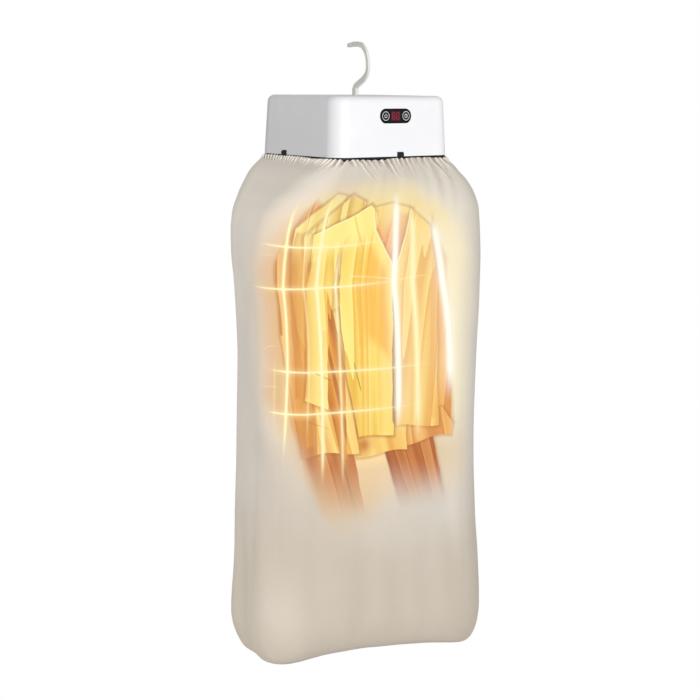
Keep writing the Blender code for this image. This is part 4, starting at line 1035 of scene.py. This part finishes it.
# it rides up a little over the tray's edge
hem = hem + 0.0007 + 0.0012 * at_side + 0.0010 * at_end
P[..., 2] += hem[None, :] * smooth01((0.012 - depth) / 0.012)
pinked = np.array([0.0, 0.0011, 0.0022, 0.0011])[np.arange(N) % 4][:, None] * np.array([0.0, 0.0, 1.0])
fold = [P[4] - normal[4] * 0.0013 + pinked, P[0] - normal[0] * 0.0012 - np.array([0, 0, 0.0003])]
P = np.concatenate([np.stack(fold), P])
v_all = np.concatenate([[BAG_TOP + 0.0085, BAG_TOP + 0.0012], zs_all])
v_all[-len(shrink):] = BAG_FLOOR - (1 - shrink) * 0.12
fold_light_and_shade = np.concatenate([fold_light_and_shade[:1] * 0, fold_light_and_shade[:1], fold_light_and_shade])
R += 2
FINE, MIDDLE = FINE + 2, MIDDLE + 2

bm = bmesh.new()
uv_layer = bm.loops.layers.uv.new("cover")
fold_light_layer = bm.verts.layers.float.new("fold")
keep = [np.arange(0, N, 1 if j < FINE else 2 if j < MIDDLE else 4) for j in range(R)]
verts = [[bm.verts.new(P[j, i]) for i in keep[j]] for j in range(R)]
# stored on the cloth for its painted highlights and painted shade along the gathers
for j in range(G + 2):
    for vert, i in zip(verts[j], keep[j]):
        vert[fold_light_layer] = fold_light_and_shade[j, i] / 0.003


def skin(points, ids):
    """A face whose corners carry the distance round the cover and the height."""
    f = bm.faces.new(points)
    us = [body_s[i % N] for _, i in ids]
    if max(us) - min(us) > Lb / 2:
        us = [u + Lb if u < 0 else u for u in us]
    for l, u, (j, _) in zip(f.loops, us, ids):
        l[uv_layer].uv = (u, v_all[j])


for j in range(R - 1):
    a, b, ka, kb = verts[j], verts[j + 1], keep[j], keep[j + 1]
    m = len(b)
    for i in range(m):
        i2 = (i + 1) % m
        if len(a) == m:
            skin((a[i], b[i], b[i2], a[i2]), ((j, ka[i]), (j + 1, kb[i]), (j + 1, kb[i2]), (j, ka[i2])))
        else:
            p, q, o = 2 * i, 2 * i + 1, (2 * i + 2) % len(a)
            skin((a[p], b[i], a[q]), ((j, ka[p]), (j + 1, kb[i]), (j, ka[q])))
            skin((a[q], b[i], b[i2]), ((j, ka[q]), (j + 1, kb[i]), (j + 1, kb[i2])))
            skin((a[q], b[i2], a[o]), ((j, ka[q]), (j + 1, kb[i2]), (j, ka[o])))
middle = bm.verts.new(P[-1].mean(0))
last, kl = verts[-1], keep[-1]
for i in range(len(last)):
    i2 = (i + 1) % len(last)
    skin((last[i], middle, last[i2]), ((R - 1, kl[i]), (R - 1, kl[i]), (R - 1, kl[i2])))

# ------------------------------------------------------------------ cloth material
g = Graph("bag_fabric")
u, v = g.uv("cover")
cloud = g.noise(g.at(), 4.5, 3.0, 0.5)
cloth = g.ramp(cloud, [(0.30, srgb(199, 191, 179)), (0.50, srgb(203, 195, 184)), (0.70, srgb(207, 200, 190))])
warp = ((u * (math.tau / 0.00072)).sin() + (v * (math.tau / 0.00072)).sin()) * 0.25 + 0.5
slub = g.noise(g.vector(u, v * 9.0), 420.0, 2.0)
cloth = g.mix((v + (cloud - 0.5) * 0.4).step(-0.80, -1.14) * 0.60, cloth, srgb(194, 181, 162))
# painted shade down the lower part of the front's left corner
corner_shade_mask = (u + 0.215).bell(0.070) * (v + (cloud - 0.5) * 0.3).step(-0.72, -0.82) * v.step(-1.14, -1.00)
cloth = g.mix(corner_shade_mask * 0.42, cloth, srgb(170, 158, 143))
cloth = g.mix(slub.step(0.35, 0.75) * 0.07, cloth, srgb(186, 176, 160))
# painted highlight on the crests of the gathers and painted shade in their hollows
crest = g.field("fold")
cloth = g.mix(crest.step(0.15, 0.90) * 0.85, cloth, srgb(246, 241, 232))
cloth = g.mix((crest * -1.0).step(0.05, 0.70) * 0.66, cloth, srgb(140, 130, 116))


def over(under, mask, colour):
    return g.mix(mask, under, colour)


# Painted warm light on the cover: garments on the rail show through as planes of painted light and painted shade.
sway = g.noise(g.vector(u, v), 13.0, 2.0) - 0.5
spot = g.vector(u + sway * 0.010, v - sway * 0.006, 1.0)


def side(a, b):
    """Distance from the line through two points, positive on its left."""
    l = math.hypot(b[0] - a[0], b[1] - a[1])
    nx, ny = (a[1] - b[1]) / l, (b[0] - a[0]) / l
    n = g.nt.nodes.new("ShaderNodeVectorMath")
    n.operation = "DOT_PRODUCT"
    g.nt.links.new(spot, n.inputs[0])
    n.inputs[1].default_value = (nx, ny, -nx * a[0] - ny * a[1])
    return Value(g, n.outputs["Value"])


def within(points, hem=None):
    """Distance inside a convex outline, negative outside it."""
    points = list(points)
    if sum(a[0] * b[1] - a[1] * b[0] for a, b in zip(points, points[1:] + points[:1])) < 0:
        points = points[::-1]
    d = hem
    for a, b in zip(points, points[1:] + points[:1]):
        d = side(a, b) if d is None else d.min(side(a, b))
    return d


def pleats(colours, lean, seed, scale, count):
    """Long folds: each shades off slowly and ends sharply where the next begins."""
    light, shade, deep = colours
    n = g.noise(g.vector(u + (v + 0.6) * lean + seed, v * 0.035), scale, 1.0)
    saw = (n * count + v * 0.5).fract()
    return g.mix(saw.step(0.50, 1.0), g.mix(saw.step(0.0, 0.55), light, shade), deep)


def hang(under, points, colours, lean=0.0, seed=0.0, scale=20.0, count=6.0, hem=None, cast=0.30, soft=0.0008):
    """A piece of hanging cloth, with the soft shade that it casts on what is behind it."""
    d = within(points, hem)
    under = over(under, d.step(-0.0085, 0.0) * cast, srgb(178, 104, 44))
    return over(under, d.step(-soft, soft), pleats(colours, lean, seed, scale, count))


def along(a, b, near=0.004, far=0.010):
    """1 between the ends of a line, fading at both."""
    l = math.hypot(b[0] - a[0], b[1] - a[1])
    t = side(a, (a[0] + (b[1] - a[1]) / l, a[1] - (b[0] - a[0]) / l))
    return t.step(-near, near) * t.step(l + 0.002, l - far)


def line(under, a, b, width, colour, power, far=0.010):
    return over(under, side(a, b).bell(width) * along(a, b, far=far) * power, colour)


def shade(under, a, b, reach, colour, power):
    """Shade that is sharp along a line and dies away to its left."""
    d = side(a, b)
    return over(under, d.step(-0.0004, 0.0004) * (d.max(0.0) * (-1.0 / reach))._op("EXPONENT") * along(a, b) * power, colour)


def wavy(at, high, phase, turns=46.0):
    """Distance above a wavy hem."""
    return v - ((u * turns + phase).sin() * high + (u * turns * 0.43 + phase * 2.0).sin() * high * 0.8 + at)


# each garment colour is given as painted light, painted shade and deepest painted shade
YELLOW = (srgb(254, 236, 148), srgb(250, 224, 126), srgb(240, 196, 90))
BRIGHT = (srgb(254, 242, 162), srgb(252, 234, 146), srgb(248, 222, 124))
PALE = (srgb(248, 232, 164), srgb(242, 216, 138), srgb(226, 186, 106))
PEACH = (srgb(238, 192, 124), srgb(226, 168, 98), srgb(204, 138, 72))
ORANGE = (srgb(253, 208, 110), srgb(250, 190, 86), srgb(236, 160, 62))
AMBERS = (srgb(234, 166, 70), srgb(220, 142, 50), srgb(192, 112, 34))
SAND = (srgb(252, 222, 142), srgb(248, 208, 124), srgb(238, 184, 98))
ROSE = (srgb(245, 194, 120), srgb(238, 180, 106), srgb(222, 156, 92))
BROWN = (srgb(222, 158, 100), srgb(210, 140, 82), srgb(190, 114, 58))
SLIT_SHADE = srgb(150, 66, 16)

# the lit air between the garments, rosy at the left and nearly white at the right
across = (u + 0.32) * (1.0 / 0.58)
haze = g.noise(g.vector(u, v * 0.06), 38.0, 2.0)
lit = g.ramp(across + (haze - 0.5) * 0.10, [(0.06, srgb(222, 184, 144)), (0.20, srgb(226, 190, 142)), (0.38, srgb(240, 212, 146)),
                                            (0.62, srgb(248, 224, 164)), (0.80, srgb(248, 236, 202)), (0.96, srgb(240, 230, 206))])
lit = over(lit, v.step(-0.72, -0.84) * 0.8, g.mix(across, srgb(216, 188, 154), srgb(226, 208, 180)))
lit = over(lit, v.step(-0.345, -0.285) * 0.75, srgb(242, 228, 182))
# what hangs below the hems
lit = hang(lit, [(-0.184, -0.780), (-0.064, -0.790), (-0.040, -0.960), (-0.136, -0.985)], BROWN, 0.30, 1.7, 26.0, 5.0, soft=0.0015)
lit = hang(lit, [(-0.003, -0.800), (0.112, -0.790), (0.150, -0.960), (0.046, -0.980)], BROWN, 0.30, 6.2, 26.0, 5.0, soft=0.0015)
lit = shade(lit, (0.000, -0.812), (0.042, -0.960), 0.022, srgb(168, 92, 52), 0.75)
lit = shade(lit, (-0.100, -0.812), (-0.062, -0.960), 0.018, srgb(172, 96, 40), 0.60)
lit = over(lit, within([(-0.068, -0.812), (-0.002, -0.812), (0.042, -0.985), (-0.034, -0.985)]).step(-0.001, 0.001),
           g.mix(v.step(-0.86, -0.82), srgb(240, 212, 172), srgb(252, 226, 172)))
# the garments behind, from the left
lit = hang(lit, [(-0.229, -0.420), (-0.221, -0.567), (-0.202, -0.722), (-0.165, -0.884), (-0.086, -0.850), (-0.100, -0.370),
                 (-0.188, -0.300), (-0.213, -0.359)], PEACH, 0.10, 0.0, 24.0, 6.0, hem=wavy(-0.812, 0.004, 1.0))
lit = hang(lit, [(-0.206, -0.352), (-0.152, -0.286), (-0.116, -0.292), (-0.098, -0.560), (-0.160, -0.640), (-0.186, -0.560)],
           PALE, 0.06, 2.3, 22.0, 5.0, cast=0.45)
lit = hang(lit, [(-0.186, -0.368), (-0.112, -0.288), (-0.074, -0.304), (-0.074, -0.501), (-0.150, -0.537)], PALE, 0.12, 4.1, 24.0, 5.0, cast=0.45)
# painted orange shade on these shirts below their lit shoulders
below = within([(-0.208, -0.355), (-0.120, -0.355), (-0.112, -0.740), (-0.198, -0.740)]).step(-0.003, 0.008) * v.step(-0.365, -0.440)
lit = over(lit, below * 0.80, g.mix(haze.step(0.35, 0.65), srgb(220, 156, 82), srgb(240, 188, 106)))
lit = hang(lit, [(0.092, -0.352), (0.126, -0.420), (0.148, -0.574), (0.158, -0.768), (0.112, -0.768), (0.090, -0.509)], ROSE, -0.08, 9.3, 24.0, 4.0)
# lower edges of the longer ones
lit = hang(lit, [(0.028, -0.740), (0.134, -0.735), (0.160, -0.772), (0.146, -0.830), (0.030, -0.840)], ROSE, 0.20, 3.3, 26.0, 4.0,
           hem=wavy(-0.803, 0.0055, 2.6, 40.0), cast=0.40)
lit = hang(lit, [(-0.060, -0.740), (0.048, -0.740), (0.052, -0.840), (-0.060, -0.840)], SAND, 0.25, 7.7, 24.0, 5.0,
           hem=wavy(-0.822, 0.0035, 0.4, 46.0), cast=0.40)
# a spot of painted shade where the hems meet
lit = over(lit, (u + 0.046).bell(0.016) * (v + 0.800).bell(0.018) * 0.75, srgb(196, 112, 44))
lit = hang(lit, [(-0.158, -0.660), (-0.088, -0.640), (-0.050, -0.840), (-0.142, -0.840)], SAND, 0.22, 5.2, 24.0, 5.0,
           hem=wavy(-0.816, 0.0035, 1.9, 50.0), cast=0.40)
# the inside of the open neck, then the jacket in front
lit = hang(lit, [(-0.056, -0.318), (-0.009, -0.309), (0.040, -0.322), (0.040, -0.385), (0.014, -0.440), (-0.040, -0.370)],
           (srgb(250, 204, 138), srgb(244, 186, 114), srgb(232, 156, 92)), -0.10, 1.1, 22.0, 4.0, cast=0.35)
lit = over(lit, within([(-0.056, -0.318), (-0.009, -0.309), (0.040, -0.322), (0.036, -0.380), (-0.040, -0.380)]).step(-0.001, 0.001)
           * v.step(-0.385, -0.325) * 0.85, srgb(250, 228, 152))
lit = shade(lit, (0.016, -0.440), (0.040, -0.330), 0.020, srgb(216, 122, 66), 0.80)
lit = hang(lit, [(0.018, -0.436), (0.036, -0.322), (0.086, -0.358), (0.114, -0.468), (0.127, -0.790), (0.028, -0.800)], SAND,
           -0.06, 8.4, 20.0, 6.0, hem=wavy(-0.772, 0.0045, 0.2, 42.0), cast=0.35)
lit = hang(lit, [(-0.160, -0.396), (-0.146, -0.358), (-0.109, -0.378), (-0.113, -0.499), (-0.122, -0.722), (-0.145, -0.712),
                 (-0.172, -0.700)], YELLOW, 0.10, 3.9, 20.0, 5.0, cast=0.45)
lit = hang(lit, [(-0.122, -0.420), (-0.090, -0.420), (-0.086, -0.640), (-0.044, -0.824), (-0.094, -0.828), (-0.124, -0.700)], AMBERS,
           0.18, 6.6, 30.0, 4.0, cast=0.0)
lit = hang(lit, [(-0.101, -0.390), (-0.068, -0.338), (-0.037, -0.362), (0.015, -0.438), (0.022, -0.800), (-0.050, -0.812),
                 (-0.080, -0.670), (-0.095, -0.560)], YELLOW, 0.04, 5.9, 17.0, 6.0, hem=wavy(-0.784, 0.0040, 3.4, 44.0), cast=0.55)
# warmer in the shade of its chest
chest = (u + 0.060).step(-0.006, 0.030) * within([(-0.066, -0.385), (-0.036, -0.385), (0.014, -0.450), (0.018, -0.640), (-0.066, -0.560)]).step(-0.004, 0.020)
lit = over(lit, chest * 0.85, g.mix(haze.step(0.40, 0.62), ORANGE[1], ORANGE[0]))
yoke = within([(-0.168, -0.366), (-0.058, -0.311), (-0.043, -0.327), (-0.034, -0.370), (-0.040, -0.440), (-0.162, -0.440)])
fade = (v + (u + 0.100) * -0.30).step(-0.425, -0.365)
# painted shadow cast below the yoke, then the yoke itself in bright painted light
lit = over(lit, yoke.step(-0.0085, 0.0) * (v + (u + 0.110) * -0.5).step(-0.390, -0.330) * 0.50, srgb(178, 104, 44))
lit = over(lit, yoke.step(-0.0008, 0.0008) * fade, pleats(BRIGHT, 0.5, 7.1, 16.0, 3.0))
# bands along the neck with painted shade beside them, then painted shade and painted highlights along folds and edges
for a, b in (((-0.052, -0.316), (-0.037, -0.368)), ((-0.037, -0.362), (0.017, -0.442)), ((0.038, -0.324), (0.020, -0.436))):
    lit = line(lit, (a[0] + 0.0022, a[1]), (b[0] + 0.0022, b[1]), 0.0010, srgb(206, 130, 60), 0.55)
    lit = line(lit, a, b, 0.0019, srgb(255, 244, 196), 0.85)
for a, b, reach, colour, power in (
        ((-0.064, -0.420), (-0.058, -0.600), 0.014, srgb(246, 196, 92), 0.55),
        ((-0.062, -0.470), (-0.044, -0.790), 0.014, srgb(244, 186, 90), 0.55), ((-0.202, -0.360), (-0.193, -0.700), 0.010, srgb(204, 138, 72), 0.65),
        ((-0.168, -0.420), (-0.176, -0.700), 0.009, srgb(212, 146, 76), 0.70), ((-0.020, -0.560), (-0.010, -0.780), 0.012, srgb(248, 202, 108), 0.60),
        ((0.098, -0.420), (0.108, -0.760), 0.016, srgb(240, 180, 104), 0.60), ((0.060, -0.520), (0.058, -0.770), 0.010, srgb(242, 190, 112), 0.55),
        ((-0.134, -0.560), (-0.142, -0.700), 0.008, srgb(240, 184, 92), 0.55),
        ((-0.170, -0.440), (-0.170, -0.800), 0.016, srgb(238, 182, 92), 0.60), ((0.0175, -0.480), (0.0170, -0.760), 0.003, srgb(140, 66, 20), 0.50)):
    lit = shade(lit, a, b, reach, colour, power)
for a, b, width, colour, power in (
        ((-0.204, -0.352), (-0.152, -0.288), 0.0010, srgb(176, 122, 66), 0.60), ((-0.184, -0.370), (-0.114, -0.291), 0.0010, srgb(186, 126, 60), 0.60),
        ((-0.164, -0.366), (-0.058, -0.313), 0.0012, srgb(255, 250, 206), 0.80), ((-0.150, -0.646), (-0.112, -0.664), 0.0011, srgb(176, 108, 44), 0.75),
        ((-0.170, -0.742), (-0.120, -0.762), 0.0010, srgb(196, 126, 58), 0.60), ((-0.078, -0.452), (0.012, -0.460), 0.0012, srgb(255, 246, 196), 0.55),
        ((0.030, -0.462), (0.088, -0.456), 0.0012, srgb(255, 244, 200), 0.45), ((-0.066, -0.630), (-0.052, -0.690), 0.0010, srgb(128, 82, 34), 0.70),
        ((-0.229, -0.440), (-0.219, -0.600), 0.0013, srgb(206, 140, 88), 0.55), ((-0.219, -0.600), (-0.165, -0.884), 0.0013, srgb(196, 126, 78), 0.60)):
    lit = line(lit, a, b, width, colour, power)
# painted shade in a dark slit between two garments
lit = line(lit, (0.0205, -0.468), (0.0165, -0.610), 0.0016, SLIT_SHADE, 0.85, far=0.004)
lit = line(lit, (0.0165, -0.606), (0.0215, -0.765), 0.0016, SLIT_SHADE, 0.85)

deeper = g.nt.nodes.new("ShaderNodeGamma")
deeper.inputs["Gamma"].default_value = 1.16
g.nt.links.new(lit, deeper.inputs["Color"])
lit = deeper.outputs["Color"]

# warm air rising in streaks and hoops of light
def add(a, b):
    return b if a is None else a + b


warm_glint = white_glint = None
for at, lean, bend, width, power, top, low, white_hot in (
        (-0.208, 0.005, -0.160, 0.0028, 0.80, -0.282, -0.880, False), (-0.138, -0.033, -0.092, 0.0034, 0.85, -0.282, -0.890, False),
        (-0.164, -0.012, -0.300, 0.0014, 0.40, -0.292, -0.800, False), (-0.099, -0.043, -0.053, 0.0030, 0.60, -0.395, -0.900, False),
        (0.029, -0.048, -0.193, 0.0060, 1.00, -0.280, -0.790, True), (0.072, -0.064, -0.214, 0.0066, 0.78, -0.306, -0.815, False),
        (0.147, -0.087, -0.528, 0.0088, 0.90, -0.330, -0.730, True), (-0.236, 0.010, 0.000, 0.0014, 0.30, -0.600, -0.860, False)):
    w = v + 0.6
    off = u - (w * w * bend + w * lean + at)
    ends = v.step(top, top - 0.05) * v.step(low, low + 0.09)
    one = (off.bell(width) + off.bell(width * 4.0) * 0.26) * ends * power
    if white_hot:
        white_glint = add(white_glint, one)
    else:
        warm_glint = add(warm_glint, one)
for c0, c1, c2, start, reach, power in ((-0.380, 0.152, 0.505, -0.300, 0.02, 0.75), (-0.467, 0.073, 0.167, -0.320, 0.07, 0.75),
                                        (-0.644, 0.021, 0.169, -0.262, 0.12, 0.75), (-0.727, 0.031, 0.147, -0.275, 0.09, 0.80)):
    off = v - (u * u * c2 + u * c1 + c0)
    ends = u.step(start, start + 0.05) * u.step(reach, reach - 0.16)
    warm_glint = warm_glint + (off.bell(0.0019) + off.bell(0.0085) * 0.24) * ends * power
# the far side of two of the hoops
for cu, cv, ru, rv in ((-0.238, -0.4215, 0.060, 0.0150), (-0.236, -0.6200, 0.034, 0.0300), (-0.232, -0.6850, 0.050, 0.0120)):
    eu, ev = (u - cu) * (1.0 / ru), (v - cv) * (1.0 / rv)
    ring = ((eu * eu + ev * ev)._op("SQRT") - 1.0).bell(0.0016 / rv)
    warm_glint = warm_glint + ring * u.step(cu + 0.012, cu - 0.012) * (v - cv).step(-rv * 0.8, rv * 0.1) * 0.30
warm_glint, white_glint = warm_glint.clamp(), white_glint.clamp()

# the lit part fades out towards its edges, and more slowly downwards
soft = g.noise(g.vector(u, v), 9.0, 2.0) - 0.5
upper = (v + 0.42).max(0.0)
lower = (v + 0.69).min(0.0)
ue = u - upper * 0.50 + lower * 0.55 + soft * 0.035
area = ue.step(-0.292, -0.216) * (u + upper * 0.35 + soft * 0.03).step(0.226, 0.140)
area = area * (v + (u - 0.04).max(0.0) * 0.50 + soft * 0.03).step(-0.248, -0.312) * (v + soft * 0.04).step(-0.960, -0.830)
lit = over(lit, warm_glint, srgb(255, 246, 190))
lit = over(lit, white_glint, srgb(255, 253, 238))
# painted glow spilling round the lit part onto the plain cloth
halo = ((ue + 0.05).step(-0.310, -0.170) * (u + soft * 0.03).step(0.34, 0.02)
        * (v + soft * 0.03).step(-0.222, -0.330) * (v + soft * 0.04).step(-1.05, -0.70))
pale_side = u.step(-0.16, 0.12)
glow_spill_colour = g.mix(pale_side, srgb(222, 198, 168), srgb(240, 232, 214))
cloth_with_glow_spill = over(cloth, halo * 0.62, glow_spill_colour)
# painted warm light reaching down below the lit part
foot = (v + soft * 0.05).step(-1.010, -0.890) * (v + 0.10).step(-0.700, -0.740) * (u + (v + 0.894) * 0.44 + 0.161).step(-0.010, 0.026) * u.step(0.020, -0.040)
cloth_with_glow_spill = over(cloth_with_glow_spill, foot * 0.46, srgb(210, 168, 104))
shown = (area + (warm_glint + white_glint) * halo * 0.45).clamp()
# the painted light and shade go partly into the base colour and partly into emission, so the cover glows though no
# lamp is inside it
surface = over(cloth_with_glow_spill, shown, g.mix(1.0, lit, (0.53, 0.53, 0.53), "MULTIPLY"))
glow = g.mix(shown, (0.0, 0.0, 0.0), g.mix(1.0, lit, (0.41, 0.41, 0.41), "MULTIPLY"))
g.set(base=surface, rough=0.86, sheen=0.10, sheen_rough=0.45, glow=glow, glow_strength=1.0,
      normal=g.bump(warp * 0.6 + slub * 0.6, 0.35, 0.00022))
CLOTH = g.m

cover = piece("cover_cloth", bm, CLOTH, "bag", ("bag_cover",), smooth=None)
cover.data.shade_smooth()

# ------------------------------------------------------------------ elastic band
bm = bmesh.new()
base = outline_rect(HEAD_W / 2 - SKIRT_IN + GAP + 0.0008, HEAD_D / 2 - SKIRT_IN + GAP + 0.0008,
                    HEAD_R - SKIRT_IN + GAP + 0.0008, 24)
loop = []
for i, p in enumerate(base):
    q = base[(i + 1) % len(base)]
    l = math.hypot(q[0] - p[0], q[1] - p[1])
    steps = max(1, round(l / 0.0018))
    loop += [(p[0] + (q[0] - p[0]) * k / steps, p[1] + (q[1] - p[1]) * k / steps) for k in range(steps)]
loop = np.array(loop)
tangent = np.roll(loop, -1, 0) - np.roll(loop, 1, 0)
tangent /= np.linalg.norm(tangent, axis=1, keepdims=True)
out_n = np.stack([tangent[:, 1], -tangent[:, 0]], 1)
if (out_n * loop).sum() < 0:
    out_n = -out_n
section = [(-0.0007, -0.0042), (-0.0007, 0.0042), (-0.0003, 0.0049), (0.0004, 0.0049), (0.0008, 0.0042), (0.00055, 0.0028),
           (0.0009, 0.0014), (0.00055, 0.0), (0.0009, -0.0014), (0.00055, -0.0028), (0.0008, -0.0042), (0.0004, -0.0049), (-0.0003, -0.0049)]
rings = []
for k, (p, nrm) in enumerate(zip(loop, out_n)):
    wave = 0.00022 * math.sin(k * 1.9) + 0.0001 * math.sin(k * 0.73 + 1.0)
    rings.append([(p[0] + nrm[0] * (a + (wave if a > 0 else 0.0)), p[1] + nrm[1] * (a + (wave if a > 0 else 0.0)),
                   BAG_TOP - 0.0070 + b) for a, b in section])
grid = [[bm.verts.new(q) for q in ring] for ring in rings]
for i in range(len(grid)):
    a, b = grid[i], grid[(i + 1) % len(grid)]
    for k in range(len(section)):
        k2 = (k + 1) % len(section)
        bm.faces.new((a[k], b[k], b[k2], a[k2]))
band = piece("hem_band", closed(bm), ELASTIC, "bag", ("bag_elastic",), smooth=60)

# ------------------------------------------------------------------ finishes of the other pieces
FINISH = {"housing_white": WHITE, "tray_black": BLACK, "panel_black": GLOSS, "display": DISPLAY,
          "hook_plastic": CREAM, "steel": STEEL, "brass": BRASS, "heater_fins": ALU, "fan_plastic": GREY,
          "mica": AMBER, "circuit_board": BOARD, "filter_foam": FOAM, "bag_fabric": CLOTH, "elastic": ELASTIC}
slots = {}
for entry in frame["record"]["subparts"]:
    slots[entry["node"]] = entry["material_slot"]
for name, obj in frame["nodes"].items():
    if obj.hide_render:
        continue
    finish = FINISH[slots[name]]
    if not obj.material_slots:
        obj.data.materials.append(finish)
    for s in obj.material_slots:
        s.material = finish

# ------------------------------------------------------------------ floor, world and lights
g = Graph("floor")
grain = g.noise(g.at(), 3.0, 3.0)
g.set(base=g.ramp(grain, [(0.3, (0.80, 0.80, 0.80)), (0.7, (0.82, 0.82, 0.82))]), rough=0.9, spec=0.1)
# seen directly the floor is plain white, as the backdrop is; by its light on the object it is a pale grey floor
bright = g.nt.nodes.new("ShaderNodeEmission")
bright.inputs["Strength"].default_value = 1.0
seen = g.nt.nodes.new("ShaderNodeLightPath")
both = g.nt.nodes.new("ShaderNodeMixShader")
g.nt.links.new(seen.outputs["Is Camera Ray"], both.inputs[0])
g.nt.links.new(g.b.outputs[0], both.inputs[1])
g.nt.links.new(bright.outputs[0], both.inputs[2])
# its underside is clear, so that the object can be looked at from below
under = g.nt.nodes.new("ShaderNodeNewGeometry")
clear = g.nt.nodes.new("ShaderNodeBsdfTransparent")
onesided = g.nt.nodes.new("ShaderNodeMixShader")
g.nt.links.new(under.outputs["Backfacing"], onesided.inputs[0])
g.nt.links.new(both.outputs[0], onesided.inputs[1])
g.nt.links.new(clear.outputs[0], onesided.inputs[2])
g.nt.links.new(onesided.outputs[0], g.out.inputs[0])
bm = bmesh.new()
bmesh.ops.create_circle(bm, cap_ends=True, radius=6.0, segments=96)
floor = helper("floor", bm)
floor.data.materials.append(g.m)
floor.location = (0, 0, -1.42)
floor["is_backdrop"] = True

world = bpy.data.worlds.new("studio")
scene.world = world
world.use_nodes = True
wt = world.node_tree
wt.nodes.clear()
w_out = wt.nodes.new("ShaderNodeOutputWorld")
fill = wt.nodes.new("ShaderNodeBackground")
fill.inputs["Color"].default_value = (1.0, 1.0, 1.0, 1.0)
fill.inputs["Strength"].default_value = 0.42
white = wt.nodes.new("ShaderNodeBackground")
white.inputs["Color"].default_value = (1.0, 1.0, 1.0, 1.0)
white.inputs["Strength"].default_value = 1.0
path = wt.nodes.new("ShaderNodeLightPath")
either = wt.nodes.new("ShaderNodeMixShader")
wt.links.new(path.outputs["Is Camera Ray"], either.inputs[0])
wt.links.new(fill.outputs[0], either.inputs[1])
wt.links.new(white.outputs[0], either.inputs[2])
wt.links.new(either.outputs[0], w_out.inputs[0])


def lamp(name, at, aim, size, power):
    light = bpy.data.lights.new(name, "AREA")
    light.shape = "DISK"
    light.size = size
    light.energy = power
    obj = bpy.data.objects.new(name, light)
    obj.location = at
    obj.rotation_euler = (Vector(aim) - Vector(at)).to_track_quat("-Z", "Y").to_euler()
    scene.collection.objects.link(obj)
    return obj


lamp("key", (-1.0, -3.9, 0.6), (0, 0, -0.5), 2.4, 99.0)
rear_light = lamp("back", (2.2, 2.8, 0.7), (0, 0, -0.6), 2.4, 70.0)
rear_light.visible_glossy = False  # no mirror image of it along the top edge
# the cloth has a soft light of its own from the left, so that its flank isn't as dark as the housing's
flank_light = lamp("flank", (-2.9, -0.2, -0.15), (0, 0, -0.45), 1.8, 43.0)
lit_by_flank = bpy.data.collections.new("cloth_pieces")
for o in (cover, band):
    lit_by_flank.objects.link(o)
flank_light.light_linking.receiver_collection = lit_by_flank

scene.view_settings.view_transform = "Standard"
scene.view_settings.look = "None"
scene.view_settings.exposure = 0.0
scene.view_settings.gamma = 1.0

low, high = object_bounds()
